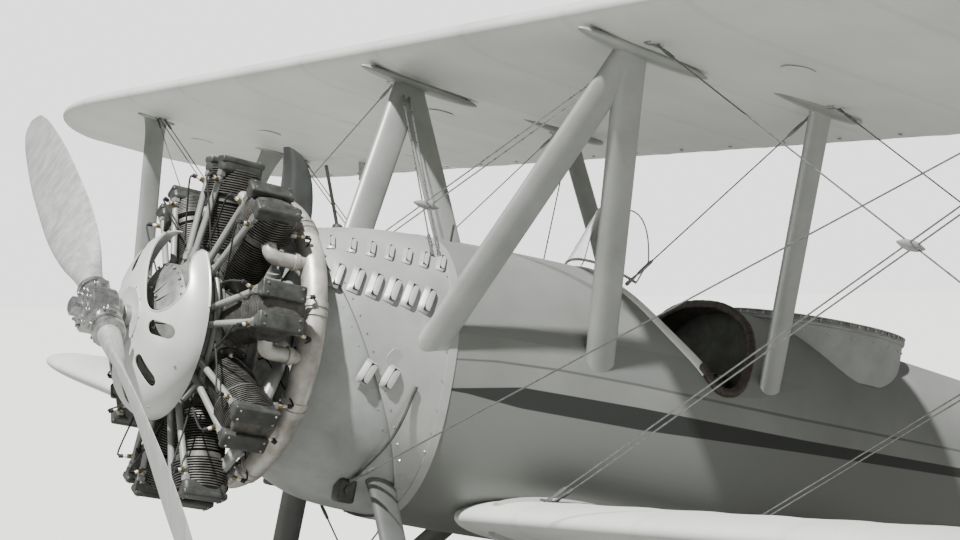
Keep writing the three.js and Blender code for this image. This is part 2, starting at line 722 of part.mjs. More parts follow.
function axleShape() {
  const end = gear.halfTrack + 52;
  return rod([-end, gear.axleY, gear.axleZ], [end, gear.axleY, gear.axleZ], gear.axleRadius, 16);
}

// A wheel's parts are turned about X, the axle's direction
function wheelTurned(profile, sides) {
  return turned(profile, sides).rotateX(Math.PI / 2).rotateY(Math.PI / 2);
}

function tyreShape() {
  const { tyreRadius, tyreWidth, rimRadius } = gear;
  const [middle, tall] = [(tyreRadius + rimRadius) / 2, (tyreRadius - rimRadius) / 2];
  const profile = Array.from({ length: 11 }, (_, i) => {
    const angle = (i / 10) * Math.PI * 2;
    return [middle + tall * Math.cos(angle), (tyreWidth / 2) * Math.sin(angle)];
  });
  return wheelTurned(profile, 32);
}

function wheelShape() {
  const { rimRadius, hubRadius, bore } = gear;
  // radius and place across the wheel, its inner side first
  const profile = [
    [bore, -66], [hubRadius, -66], [hubRadius + 20, -56], [rimRadius - 10, -34],
    [rimRadius - JOINT_GAP, -24], [rimRadius - JOINT_GAP, 24], [rimRadius - 10, 34], [hubRadius + 20, 60],
    [hubRadius - 8, 72], [0, 74], [0, 58], [bore, 58], [bore, -66],
  ];
  return wheelTurned(profile, 32);
}

function skidShape(body) {
  const { topY, topZ, shoeY, shoeZ, shoeLength, shoeWidth, shoeHeight, width } = skid;
  const spring = sidePlate([
    [topY, topZ + 60], [topY + 190, topZ + 60], [shoeY + 40, shoeZ + 30], [shoeY + 20, shoeZ + 6],
    [shoeY - 110, shoeZ + 30],
  ], -width / 2, width / 2);
  const shoe = new THREE.BoxGeometry(shoeWidth, shoeLength, shoeHeight)
    .translate(0, 0, shoeHeight / 2)
    .rotateX(parkedPitch)
    .translate(0, shoeY, shoeZ);
  return cut(joined([spring, shoe]), [body]);
}

// An upright air scoop on top of the cone, just behind the exhaust ring
function scoopShape(body) {
  // height, front, rear, half width
  const rows = [
    { z: 350, front: 616, rear: 692, half: 42 },
    { z: 540, front: 607, rear: 676, half: 42 },
    { z: 640, front: 585, rear: 650, half: 40 },
    { z: 692, front: 566, rear: 626, half: 34 },
  ];
  const ring = ({ z, front, rear, half }) => Array.from({ length: 12 }, (_, i) => {
    const angle = ((i + 0.5) / 12) * Math.PI * 2;
    const bend = (value) => Math.sign(value) * Math.sqrt(Math.abs(value));
    const y = (front + rear) / 2 + ((rear - front) / 2) * bend(Math.sin(angle));
    return new THREE.Vector3(half * bend(Math.cos(angle)), y, z);
  });
  return cut(loft(rows.map(ring)), [body]);
}

// Cockpits
function windscreenShape(body) {
  const { y, z, radius, wall, sweep, height, rake } = windscreen;
  const steps = Array.from({ length: 13 }, (_, i) => sweep * (i / 6 - 1));
  const edge = (r) => steps.map((angle) => new THREE.Vector2(r * Math.sin(angle), -r * Math.cos(angle)));
  const shape = new THREE.Shape([...edge(radius), ...edge(radius - wall).reverse()]);
  const pane = new THREE.ExtrudeGeometry(shape, { depth: height, bevelEnabled: false });
  pane.rotateX(-rake).translate(0, y, z);
  return cut(pane, [body]);
}

// A bucket seat on a plain box that stands on the cockpit floor
function seatShape(y) {
  const {
    panZ: z, panHeight, half, backHeight, backLean, backThick, armHeight, armThick, legHalfX,
    legHalfY,
  } = seat;
  const pan = box([-half, half], [y - half, y + half], [z, z + panHeight]);
  const rear = y + half + 10;
  const lean = rear + backLean;
  const back = sidePlate([
    [rear - backThick - 10, z], [rear, z], [lean, z + backHeight], [lean - backThick + 2, z + backHeight],
  ], -half, half);
  const arm = [[y - 120, z], [rear, z], [rear + 25, z + armHeight], [y - 60, z + 130]];
  const arms = [-half, half].map((x) => sidePlate(arm, x - armThick / 2, x + armThick / 2));
  const legHeight = [cockpitFloorZ + JOINT_GAP, z + 10];
  const legs = box([-legHalfX, legHalfX], [y - legHalfY, y + legHalfY], legHeight);
  return joined([pan, back, ...arms, legs]);
}

function panelShape() {
  const { front, rear, low } = instrumentPanel;
  const { width, top, endY } = frontCockpit;
  const inside = fuselageStretch(frontBay.start + 4, endY, fuselage.wall + 2);
  const plate = common(inside, box([-width, width], [front, rear], [low, top]));
  return cut(plate, [frontCockpitCutter()]);
}

// The rear cockpit's ring stands on a collar around the well
function ringShape(body) {
  const { y, ringRadius, ringTube, ringZ, collarZ, collarHalf } = rearCockpit;
  const ring = new THREE.TorusGeometry(ringRadius, ringTube, 6, 24).translate(0, y, ringZ);
  const [inner, outer] = [ringRadius - collarHalf, ringRadius + collarHalf];
  const collar = turned([
    [inner, collarZ], [outer, collarZ], [outer, ringZ], [inner, ringZ], [inner, collarZ],
  ], 24);
  return cut(joined([ring, collar.rotateX(Math.PI / 2).translate(0, y, 0)]), [body]);
}

// Stays: the flying and landing wires of one bay cross and are clipped together at the crossing
const wire = { radius: 5, sides: 5, clip: 14 };

function crossedStays(first, second) {
  const wires = [first, second].map(([from, to]) => rod(from, to, wire.radius, wire.sides));
  const a = first.map((point) => new THREE.Vector3(...point));
  const b = second.map((point) => new THREE.Vector3(...point));
  const u = a[1].clone().sub(a[0]);
  const v = b[1].clone().sub(b[0]);
  const normal = u.clone().cross(v);
  const between = b[0].clone().sub(a[0]);
  const share = between.clone().cross(v).dot(normal) / normal.lengthSq();
  const crossing = a[0].clone().addScaledVector(u, share);
  const clip = new THREE.SphereGeometry(wire.clip, 6, 4).translate(...crossing);
  return joined([...wires, clip]);
}

function bayStays(topY, footY, upper, lower) {
  const outerTop = [interplane.x - 70, topY, 1240];
  const outerFoot = [interplane.x - 70, footY, -190];
  const innerTop = [cabane.backTop[0] + 80, topY, 1240];
  const innerFoot = [540, footY, -430];
  const crossed = crossedStays([innerFoot, outerTop], [innerTop, outerFoot]);
  return cut(crossed, [moved(upper, 0, 0, -JOINT_GAP), moved(lower, 0, 0, JOINT_GAP)]);
}

function cabaneStays(body, vee) {
  const [x, y] = cabane.apex;
  const top = [x - 30, y - 20, 1150];
  const foot = [-cabane.stayFoot, cabane.frontFoot[1] + 20, 365];
  const acrossTop = [-top[0], top[1], top[2]];
  const acrossFoot = [-foot[0], foot[1], foot[2]];
  const crossed = crossedStays([top, foot], [acrossTop, acrossFoot]);
  return cut(crossed, [body, moved(vee, -JOINT_GAP, 0, 0), mirrored(moved(vee, -JOINT_GAP, 0, 0))]);
}

// Materials
function finish(color, roughness, metalness, extra = {}) {
  return new THREE.MeshStandardMaterial({ color, roughness, metalness, ...extra });
}

const silverFabric = finish(0xb9bbb6, 0.55, 0.25);
const silverPanel = finish(0xc4c6c2, 0.42, 0.5);
const darkPanel = finish(0x5c605f, 0.5, 0.45);
const engineIron = finish(0x33322f, 0.6, 0.6);
const polishedMetal = finish(0xc9cac8, 0.25, 0.95);
const exhaustSteel = finish(0xa8a49b, 0.45, 0.8);
const strutPaint = finish(0xc2c4c0, 0.45, 0.3);
const tyreRubber = finish(0x232323, 0.85, 0);
const wheelPaint = finish(0xb4b6b3, 0.5, 0.3);
const steel = finish(0x8f9192, 0.35, 0.9);
const blackPanel = finish(0x232527, 0.5, 0.2);
const leather = finish(0x4a3324, 0.65, 0);
const glass = finish(0xdfe8ea, 0.08, 0, { transparent: true, opacity: 0.35 });

// Assembly
const aircraft = new THREE.Group();

function add(name, geometry, material) {
  const mesh = new THREE.Mesh(geometry, material);
  mesh.name = name;
  aircraft.add(mesh);
}

function addPair(name, geometry, material) {
  add(`${name}_port`, geometry, material);
  add(`${name}_starboard`, mirrored(geometry), material);
}

const hull = fuselageStretch(fuselage.noseStart, fuselage.tailEnd, -1.3 * JOINT_GAP);
const upperBlank = upperWingBlank();
const lowerBlank = lowerWingBlank();
const upperPanel = cut(upperBlank, [aileronSlot(), mirrored(aileronSlot())]);

add('fuselage_nose', fuselageStretch(fuselage.cowlEnd, frontBay.start - JOINT_GAP, 0), silverFabric);
add('fuselage_front_bay', fuselageBay(frontBay, [frontCockpitCutter()]), silverFabric);
add('fuselage_rear_bay', fuselageBay(rearBay, [rearCockpitWell()]), silverFabric);
add('fuselage_tail', fuselageTail(), silverFabric);
add('louvred_cowl', cowlShape(), silverPanel);
add('cone_cowl', coneShape(), darkPanel);
add('engine', engineShape(), engineIron);
add('crankcase_cowl', crankcaseCowlShape(), silverPanel);
add('exhaust_collector', collectorShape(), exhaustSteel);
add('air_scoop', scoopShape(hull), darkPanel);
add('propeller', propellerShape(), polishedMetal);
add('upper_wing', upperPanel, silverFabric);
addPair('lower_wing', cut(lowerBlank, [hull]), silverFabric);
addPair('aileron', aileronFrom(upperBlank), silverFabric);
add('tailplane', tailplaneShape(), silverFabric);
addPair('elevator', elevatorShape(), silverFabric);
add('fin', cut(finShape(), [hull, tailplaneGrown()]), silverFabric);
add('rudder', rudderShape(), silverFabric);
const vee = cabaneVee(hull, upperBlank);
addPair('cabane_vee', vee, strutPaint);
addPair('cabane_back', cabaneBack(hull, upperBlank), strutPaint);

// name, place of the strut's top and foot along Y
const interplaneRows = [
  { name: 'interplane_front', top: interplane.frontTopY, foot: interplane.frontFootY },
  {
    name: 'interplane_diagonal',
    top: interplane.rearTopY - interplane.inset,
    foot: interplane.frontFootY + interplane.inset,
  },
  { name: 'interplane_rear', top: interplane.rearTopY, foot: interplane.rearFootY },
];
interplaneRows.forEach(({ name, top, foot }) => {
  addPair(name, interplaneStrut(top, foot, upperBlank, lowerBlank), strutPaint);
});

addPair('gear_leg', legShape(hull, lowerBlank), strutPaint);
add('axle', axleShape(), steel);
addPair('tyre', moved(tyreShape(), gear.halfTrack, gear.axleY, gear.axleZ), tyreRubber);
addPair('wheel', moved(wheelShape(), gear.halfTrack, gear.axleY, gear.axleZ), wheelPaint);
add('tail_skid', skidShape(hull), steel);
add('windscreen', windscreenShape(hull), glass);
add('seat_front', seatShape(seat.frontY), leather);
add('seat_rear', seatShape(seat.rearY), leather);
add('instrument_panel', panelShape(), blackPanel);
add('rear_cockpit_ring', ringShape(hull), steel);
// name, place of the wires' upper and lower ends along Y
const stayRows = [
  { name: 'stays_front', top: interplane.frontTopY, foot: interplane.frontFootY },
  { name: 'stays_rear', top: interplane.rearTopY, foot: interplane.rearFootY },
];
stayRows.forEach(({ name, top, foot }) => {
  addPair(name, bayStays(top, foot, upperBlank, lowerBlank), steel);
});
add('cabane_stays', cabaneStays(hull, vee), steel);

aircraft.rotation.x = -parkedPitch;
aircraft.updateMatrixWorld(true);

// Rest the aircraft on the plane Z = 0, centred over the origin
const bounds = new THREE.Box3().setFromObject(aircraft, true);
const middle = bounds.getCenter(new THREE.Vector3());
aircraft.position.set(-middle.x, -middle.y, -bounds.min.z);

const biplane = new THREE.Group();
biplane.add(aircraft);

export default biplane;
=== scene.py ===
# %% [markdown]
# # A two-seat biplane, dressed
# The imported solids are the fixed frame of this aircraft. Each cell below gives one piece or one
# finish its final look. Everything is drawn in the aircraft's own flight attitude, in metres:
# X to port, Y aft, Z up, with the propeller's hub at zero. One matrix then pitches it nose-up to
# where the real aircraft stands parked, so that no piece has to be fitted by hand.

# %% Load the frame
import json
import math

import bmesh
import bpy
from mathutils import Matrix, Vector


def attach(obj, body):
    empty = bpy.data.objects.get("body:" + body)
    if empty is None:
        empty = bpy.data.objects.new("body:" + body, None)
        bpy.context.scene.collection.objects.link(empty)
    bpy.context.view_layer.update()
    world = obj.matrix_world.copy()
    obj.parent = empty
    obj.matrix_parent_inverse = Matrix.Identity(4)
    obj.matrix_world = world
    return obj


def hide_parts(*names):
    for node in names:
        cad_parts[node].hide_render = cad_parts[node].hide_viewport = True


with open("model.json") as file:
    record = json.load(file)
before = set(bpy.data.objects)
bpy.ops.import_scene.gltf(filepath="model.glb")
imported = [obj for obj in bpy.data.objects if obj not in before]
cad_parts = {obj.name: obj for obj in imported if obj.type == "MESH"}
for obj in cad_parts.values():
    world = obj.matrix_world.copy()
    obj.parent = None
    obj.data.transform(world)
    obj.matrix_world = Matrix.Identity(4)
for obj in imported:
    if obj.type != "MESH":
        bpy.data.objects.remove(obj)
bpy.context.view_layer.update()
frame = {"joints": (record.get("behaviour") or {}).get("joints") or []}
joints = {joint["name"]: joint for joint in frame["joints"]}

# %% [markdown]
# The propeller's joint tells where the hub is and how far the nose is pitched up. A mesh that is
# drawn in flight attitude goes through `parked`, and its object stays at the origin.

# %% Flight attitude to parked attitude
hub = Vector(joints["propeller_spin"]["pos_m"])
thrust = Vector(joints["propeller_spin"]["axis"])
pitch = math.atan2(-thrust.z, thrust.y)
parked = Matrix.Translation(hub) @ Matrix.Rotation(-pitch, 4, "X")
print("nose-up pitch in degrees", round(math.degrees(pitch), 2))

# %% [markdown]
# The camera stands about six metres to port of the nose and a little over two metres up, with a
# long lens. Its place and turn were solved from the struts' feet and the edges of the wings.

# %% Camera
camera_place = Vector((6.186, -2.284, -0.258))
camera_azimuth = math.radians(59.025)
camera_elevation = math.radians(-5.401)
camera_roll = math.radians(-10.083)
focal_pixels = 1923.5
frame_width, frame_height = 960, 540
centre_pixel = (478, 272)
sensor_width = 36.0


def camera_turn():
    back = Vector((
        math.sin(camera_azimuth) * math.cos(camera_elevation),
        -math.cos(camera_azimuth) * math.cos(camera_elevation),
        math.sin(camera_elevation),
    ))
    side = (-back).cross(Vector((0, 0, 1))).normalized()
    above = side.cross(-back)
    right = side * math.cos(camera_roll) - above * math.sin(camera_roll)
    up = side * math.sin(camera_roll) + above * math.cos(camera_roll)
    return Matrix((right, up, back)).transposed()


def linked(name, data):
    """A new object that is in the scene."""
    made = bpy.data.objects.new(name, data)
    bpy.context.scene.collection.objects.link(made)
    return made


camera = linked("Camera", bpy.data.cameras.new("Camera"))
camera.data.sensor_width = sensor_width
camera.data.lens = focal_pixels * sensor_width / frame_width
camera.data.shift_x = (frame_width / 2 - centre_pixel[0]) / frame_width
camera.data.shift_y = (centre_pixel[1] - frame_height / 2) / frame_width
camera.data.clip_end = 200
camera.matrix_world = parked @ Matrix.Translation(camera_place) @ camera_turn().to_4x4()
bpy.context.scene.camera = camera
print("camera height", round(camera.matrix_world.translation.z, 3), "lens", round(camera.data.lens, 1))

# %% [markdown]
# A bright, hazy day is the studio. The sun stands high before the bow, a little to port, so the
# upper wing's shadow falls on the tops of its struts and on the deck behind them, and the pale
# floor lights the wings from below. The camera sees the sky brighter than it lights the aircraft,
# as in an overexposed picture.

# %% World, sun and floor
pale_sky = (0.90, 0.91, 0.90, 1)
light_of_sky, look_of_sky = 0.34, 2.3
world = bpy.data.worlds.new("Pale sky")
bpy.context.scene.world = world
world.use_nodes = True
background = world.node_tree.nodes["Background"]
background.inputs["Color"].default_value = pale_sky
rays = world.node_tree.nodes.new("ShaderNodeLightPath")
seen = world.node_tree.nodes.new("ShaderNodeMath")
seen.operation = "MAXIMUM"
strength = world.node_tree.nodes.new("ShaderNodeMapRange")
strength.inputs["To Min"].default_value = light_of_sky
strength.inputs["To Max"].default_value = look_of_sky
world.node_tree.links.new(rays.outputs["Is Camera Ray"], seen.inputs[0])
world.node_tree.links.new(rays.outputs["Is Transmission Ray"], seen.inputs[1])
world.node_tree.links.new(seen.outputs[0], strength.inputs["Value"])
world.node_tree.links.new(strength.outputs[0], background.inputs["Strength"])


def add_sun(name, energy, angle, tilt, turn):
    light = linked(name, bpy.data.lights.new(name, "SUN"))
    light.data.energy = energy
    light.data.angle = math.radians(angle)
    light.rotation_euler = (math.radians(tilt), 0, math.radians(turn))


add_sun("Sun", energy=10.5, angle=2.0, tilt=31, turn=34)

# %% [markdown]
# Small functions that the rest of the script shares. Colours are written as sRGB hex values, as
# a colour picker shows them, and turned to the linear values that the shaders work with.

# %% Colours and nodes
mm = 0.001


def linear(hex_colour):
    channels = [int(hex_colour[i:i + 2], 16) / 255 for i in (1, 3, 5)]
    bent = [c / 12.92 if c <= 0.04045 else ((c + 0.055) / 1.055) ** 2.4 for c in channels]
    return (*bent, 1)


def add(tree, kind, links=None, **settings):
    """One node of a shader or geometry tree: its settings, and its inputs by name or number."""
    made = tree.nodes.new(kind)
    for key, value in settings.items():
        setattr(made, key, value)
    for key, value in (links or {}).items():
        socket = made.inputs[key]
        if isinstance(value, bpy.types.Node):
            tree.links.new(value.outputs[0], socket)
        elif isinstance(value, bpy.types.NodeSocket):
            tree.links.new(value, socket)
        else:
            socket.default_value = value
    return made


def finish(name, colour, roughness, metallic=0.0, **sockets):
    """A material with one Principled shader, and the values that are the same all over."""
    made = bpy.data.materials.new(name)
    made.use_nodes = True
    shader = made.node_tree.nodes["Principled BSDF"]
    shader.inputs["Base Color"].default_value = linear(colour)
    shader.inputs["Roughness"].default_value = roughness
    shader.inputs["Metallic"].default_value = metallic
    for key, value in sockets.items():
        shader.inputs[key.replace("_", " ")].default_value = value
    return made, made.node_tree, shader


def place(tree, scale=(1, 1, 1), location=(0, 0, 0), rotation=(0, 0, 0)):
    """Object coordinates in metres, stretched and turned by one Mapping node."""
    coordinates = add(tree, "ShaderNodeTexCoord")
    return add(tree, "ShaderNodeMapping", {
        "Vector": coordinates.outputs["Object"], "Scale": scale, "Location": location,
        "Rotation": rotation,
    })


def mottle(tree, shader, light, dark, per_metre, detail=4, low=0.35, high=0.7, vector=None):
    """Two colours blended by a cloudy noise, put on the base colour."""
    noise = add(tree, "ShaderNodeTexNoise", {
        "Vector": vector or place(tree), "Scale": per_metre, "Detail": detail, "Roughness": 0.6,
    })
    ramp = add(tree, "ShaderNodeValToRGB", {"Fac": noise.outputs[0]})
    ramp.color_ramp.elements[0].position = low
    ramp.color_ramp.elements[0].color = linear(dark)
    ramp.color_ramp.elements[1].position = high
    ramp.color_ramp.elements[1].color = linear(light)
    tree.links.new(ramp.outputs[0], shader.inputs["Base Color"])
    return noise, ramp


def roughen(tree, shader, noise, low, high):
    """Roughness that follows a noise between two values."""
    spread = add(tree, "ShaderNodeMapRange", {"Value": noise.outputs[0], "To Min": low, "To Max": high})
    tree.links.new(spread.outputs[0], shader.inputs["Roughness"])


def emboss(tree, shader, height, depth_mm, strength=1.0):
    """A bump whose full height is given in millimetres."""
    bump = add(tree, "ShaderNodeBump", {
        "Height": height, "Distance": depth_mm * mm, "Strength": strength,
    })
    tree.links.new(bump.outputs[0], shader.inputs["Normal"])
    return bump


# %% [markdown]
# Flight coordinates are handy in materials too: stripes run along the thrust line, not along the
# ground. One Mapping node undoes the parked pitch and moves the origin to the hub.

# %% Flight coordinates for materials
unpitched = Matrix.Rotation(pitch, 3, "X")


def flight(tree, scale=(1, 1, 1)):
    start = -(unpitched @ hub)
    turned_back = place(tree, location=tuple(start), rotation=(pitch, 0, 0))
    if scale == (1, 1, 1):
        return turned_back
    return add(tree, "ShaderNodeMapping", {"Vector": turned_back.outputs[0], "Scale": scale})


# %% [markdown]
# ## Finishes
# The wings, the tail and the rear of the fuselage are cotton fabric, shrunk tight with dope and
# sprayed with aluminium dope: a satin grey that shows a faint weave, soft brush clouds and a
# little dirt. The weave's real threads are 0.5 mm apart, too fine to show, so they are drawn
# several times as wide.

# %% Doped fabric
weave_mm = 3.0


def weave(tree, vector):
    """Height of two sets of threads that cross at a right angle."""
    waves = []
    for direction in ("X", "Y"):
        waves.append(add(tree, "ShaderNodeTexWave", {
            "Vector": vector, "Scale": 1 / (weave_mm * mm) / 6.283, "Distortion": 0.4,
        }, wave_type="BANDS", bands_direction=direction))
    return add(tree, "ShaderNodeMath", {0: waves[0].outputs["Fac"], 1: waves[1].outputs["Fac"]},
               operation="MULTIPLY")


def doped(name, light, dark):
    made, tree, shader = finish(name, light, 0.5, 0.22, Specular_IOR_Level=0.4)
    vector = flight(tree)
    noise, ramp = mottle(tree, shader, light, dark, 2.2, 6, 0.3, 0.68, vector=vector)
    roughen(tree, shader, noise, 0.42, 0.6)
    emboss(tree, shader, weave(tree, vector), 0.25, 0.5)
    return made, tree, shader, ramp


# %% [markdown]
# The fuselage carries two painted stripes, a dark dart along its middle and a thin line above it.
# Above the line, a grey band under the struts' feet is painted shadow of the upper wing and the
# struts. Each edge is a list of places along the fuselage and heights above the thrust line, read
# by a Float Curve, and a stripe is what lies between.

# %% Stripes
stripe_start, stripe_end = 0.9, 6.9
stripe_low, stripe_high = -0.6, 0.6


def edge_height(tree, along, points):
    """Height of an edge at a place along the fuselage, from pairs of metres."""
    share = add(tree, "ShaderNodeMapRange", {
        "Value": along, "From Min": stripe_start, "From Max": stripe_end,
    })
    curve = add(tree, "ShaderNodeFloatCurve", {"Value": share.outputs[0]})
    line = curve.mapping.curves[0]
    scaled = [((y - stripe_start) / (stripe_end - stripe_start),
               (z - stripe_low) / (stripe_high - stripe_low)) for y, z in points]
    line.points[0].location = (0, scaled[0][1])
    line.points[1].location = (1, scaled[-1][1])
    for where in scaled:
        line.points.new(*where)
    for point in line.points:
        point.handle_type = "VECTOR"
    curve.mapping.update()
    return add(tree, "ShaderNodeMapRange", {
        "Value": curve.outputs[0], "To Min": stripe_low, "To Max": stripe_high,
    })


def between(tree, height, lower, upper, blur=0.0015):
    """One between two edges and zero outside, with a hair of softness."""
    over = add(tree, "ShaderNodeMath", {0: height, 1: lower.outputs[0]}, operation="SUBTRACT")
    under = add(tree, "ShaderNodeMath", {0: upper.outputs[0], 1: height}, operation="SUBTRACT")
    least = add(tree, "ShaderNodeMath", {0: over, 1: under}, operation="MINIMUM")
    return add(tree, "ShaderNodeMapRange", {
        "Value": least.outputs[0], "From Min": -blur, "From Max": blur,
    })


# Edges as pairs of place along the fuselage and height, and the stripe's colour. The first is no
# stripe: it darkens the belly below the thick stripe, as painted shade where the side faces down.
stripes = [
    {"colour": "#6d6f6b",
     "lower": [(1.0, -2.0), (6.2, -2.0)],
     "upper": [(1.08, -0.051), (1.43, -0.050), (2.74, 0.0), (4.4, 0.045), (6.2, 0.08)]},
    {"colour": "#2b2d2b",
     "lower": [(1.08, -0.051), (1.21, -0.049), (1.43, -0.064), (1.96, -0.058), (2.74, -0.024),
               (4.4, 0.03), (6.2, 0.075)],
     "upper": [(1.08, -0.051), (1.21, -0.028), (1.42, 0.01), (1.94, 0.022), (2.74, 0.026),
               (4.4, 0.06), (6.2, 0.085)]},
    # The grey band: painted shadow of the upper wing and the cabane struts on the side
    {"colour": "#757774",
     "lower": [(1.06, 0.125), (1.17, 0.158), (1.4, 0.172), (1.675, 0.183), (1.676, 0.24), (1.742, 0.24),
               (1.743, 0.108), (2.2, 0.112), (2.5, 0.15), (2.78, 0.240), (2.9, 0.3)],
     "upper": [(1.06, 0.125), (1.12, 0.19), (1.4, 0.222), (1.675, 0.23), (2.11, 0.241), (2.78, 0.239),
               (2.9, 0.238)]},
    {"colour": "#5a5c59",
     "lower": [(1.06, 0.048), (1.3, 0.078), (1.57, 0.093), (1.93, 0.099), (2.7, 0.098), (4.4, 0.12),
               (6.2, 0.13)],
     "upper": [(1.06, 0.054), (1.3, 0.086), (1.57, 0.102), (1.93, 0.109), (2.7, 0.109), (4.4, 0.128),
               (6.2, 0.136)]},
]


def striped(name, light, dark):
    made, tree, shader, ramp = doped(name, light, dark)
    parts = add(tree, "ShaderNodeSeparateXYZ", {"Vector": flight(tree).outputs[0]})
    colour = ramp.outputs[0]
    for stripe in stripes:
        edges = [edge_height(tree, parts.outputs["Y"], stripe[side]) for side in ("lower", "upper")]
        mask = between(tree, parts.outputs["Z"], *edges)
        mix = add(tree, "ShaderNodeMix", data_type="RGBA")
        mix.inputs[7].default_value = linear(stripe["colour"])
        tree.links.new(mask.outputs[0], mix.inputs[0])
        tree.links.new(colour, mix.inputs[6])
        colour = mix.outputs[2]
    tree.links.new(colour, shader.inputs["Base Color"])
    return made


# The fuselage's fabric is the wings' aluminium dope drawn much darker, as painted shade on its sides.
stripes_and_shade_fabric = striped("Grey doped fabric with painted stripes", "#838581", "#727470")

# %% [markdown]
# Sheet metal comes in two paints. The light cowls are aluminium paint over hand-beaten panels,
# so their surface waves a little. The cone behind the engine is dull dark grey, mottled by heat
# and oil, and much rougher.

# %% Painted sheet metal
def sheet_paint(name, light, dark, roughness, metallic, wave_mm, grain_mm=0.0):
    made, tree, shader = finish(name, light, roughness, metallic)
    vector = flight(tree)
    noise, _ = mottle(tree, shader, light, dark, 5.0, 8, 0.3, 0.66, vector=vector)
    roughen(tree, shader, noise, roughness - 0.07, roughness + 0.09)
    beaten = add(tree, "ShaderNodeTexNoise", {"Vector": vector, "Scale": 9.0, "Detail": 1.0})
    bump = emboss(tree, shader, beaten.outputs[0], wave_mm)
    if grain_mm:
        grain = add(tree, "ShaderNodeTexNoise", {"Vector": vector, "Scale": 260.0, "Detail": 2.0})
        second = add(tree, "ShaderNodeBump", {
            "Height": grain.outputs[0], "Distance": grain_mm * mm, "Normal": bump.outputs[0],
        })
        tree.links.new(second.outputs[0], shader.inputs["Normal"])
    return made


silver_sheet = sheet_paint("Aluminium painted sheet", "#a8aaa6", "#959793", 0.42, 0.25, 1.6)
dome_sheet = sheet_paint("Aluminium painted spinning", "#d3d4d1", "#c2c4c0", 0.36, 0.2, 0.6)
cone_sheet = sheet_paint("Dull dark grey painted sheet", "#a3a6a3", "#868986", 0.56, 0.2, 1.4, 0.5)
scoop_sheet = sheet_paint("Sooty dark sheet", "#4b4e4c", "#363836", 0.6, 0.2, 1.0, 0.4)
strut_paint = sheet_paint("Aluminium painted strut", "#9a9c98", "#888a86", 0.4, 0.25, 0.3)
gear_paint = sheet_paint("Dark grey painted steel tube", "#6a6c69", "#575956", 0.42, 0.25, 0.3)

# %% [markdown]
# The engine has oily iron fins, sand-cast aluminium cases, rocker boxes in dulled black enamel,
# sheet steel pipes paled by heat, and small bright steel fittings. The propeller is forged
# aluminium, dulled by use and worn along the blade, so its grain is stretched noise.

# %% Metals
def metal(name, light, dark, roughness, metallic, per_metre, grain_mm, stretch=(1, 1, 1)):
    made, tree, shader = finish(name, light, roughness, metallic)
    vector = flight(tree, stretch)
    noise, _ = mottle(tree, shader, light, dark, per_metre, 6, 0.34, 0.64, vector=vector)
    roughen(tree, shader, noise, max(roughness - 0.1, 0.08), roughness + 0.12)
    grain = add(tree, "ShaderNodeTexNoise", {"Vector": vector, "Scale": per_metre * 14, "Detail": 3.0})
    emboss(tree, shader, grain.outputs[0], grain_mm)
    return made


oily_iron = metal("Oily cylinder iron", "#6b6964", "#45443f", 0.42, 0.45, 26, 0.25)
cast_aluminium = metal("Sand-cast aluminium", "#989995", "#737470", 0.5, 0.5, 18, 0.3)
enamel = metal("Dulled black enamel on cast iron", "#484a46", "#30312e", 0.42, 0.2, 22, 0.45)
exhaust_steel = metal("Heat-paled sheet steel", "#ccc9c2", "#8d8980", 0.42, 0.45, 9, 0.3)
bright_steel = metal("Bright plated steel", "#c4c5c3", "#9fa09e", 0.28, 0.95, 40, 0.05)
wire_steel = metal("Greased steel wire", "#7e7f7d", "#5f605e", 0.36, 0.6, 60, 0.03)
forged_alloy = metal("Dulled forged alloy", "#cbccc9", "#b0b1ae", 0.36, 0.55, 6, 0.06, (6, 6, 1))
brass = metal("Dull brass", "#8d7f5c", "#655a3f", 0.4, 0.85, 30, 0.05)
rubber = metal("Smooth aged rubber", "#2b2b2a", "#1b1b1b", 0.72, 0.0, 30, 0.2)
black_lacquer = metal("Black crackle lacquer", "#26282a", "#1a1b1d", 0.5, 0.1, 40, 0.4)
dial_black = finish("Matt black dial", "#141516", 0.6)[0]
dial_white = finish("Ivory white dial marks", "#dedbcc", 0.5)[0]
dark_inside = metal("Dark zinc primer inside", "#5d6058", "#474a43", 0.7, 0.05, 14, 0.2)

# %% [markdown]
# Soft and clear finishes: brown cowhide with fine creases and lighter, worn patches, olive cotton
# webbing, birch plywood for the floor, and thin safety glass.

# %% Leather, webbing, plywood and glass
def leather(name, light, dark):
    made, tree, shader = finish(name, light, 0.5, 0.0, Specular_IOR_Level=0.45)
    vector = place(tree)
    noise, _ = mottle(tree, shader, light, dark, 16, 6, 0.3, 0.72, vector=vector)
    roughen(tree, shader, noise, 0.38, 0.6)
    # Cowhide grain is about 1 mm wide; it is drawn 3 mm wide, so that it shows
    grain = add(tree, "ShaderNodeTexVoronoi", {"Vector": vector, "Scale": 1 / (3 * mm)},
                feature="DISTANCE_TO_EDGE")
    emboss(tree, shader, grain.outputs[0], 0.8, 0.7)
    return made


brown_leather = leather("Worn brown cowhide", "#6b4a33", "#3b281c")
dark_leather = leather("Dark cowhide roll", "#453630", "#241c19")
webbing = doped("Olive cotton webbing", "#6e6a52", "#57543f")[0]


def plywood():
    made, tree, shader = finish("Varnished birch plywood", "#8d7853", 0.42)
    grain = add(tree, "ShaderNodeTexWave", {
        "Vector": flight(tree, (1, 0.12, 0.25)), "Scale": 30.0, "Distortion": 9.0, "Detail": 4.0,
    }, wave_type="BANDS", bands_direction="X")
    ramp = add(tree, "ShaderNodeValToRGB", {"Fac": grain.outputs["Fac"]})
    ramp.color_ramp.elements[0].color = linear("#7d6944")
    ramp.color_ramp.elements[1].color = linear("#8f7b57")
    tree.links.new(ramp.outputs[0], shader.inputs["Base Color"])
    emboss(tree, shader, grain.outputs["Fac"], 0.1)
    return made


floor_plywood = plywood()
clear_glass = finish("Clear safety glass", "#fcfdfd", 0.0, 0.0, IOR=1.3, Transmission_Weight=1.0)[0]


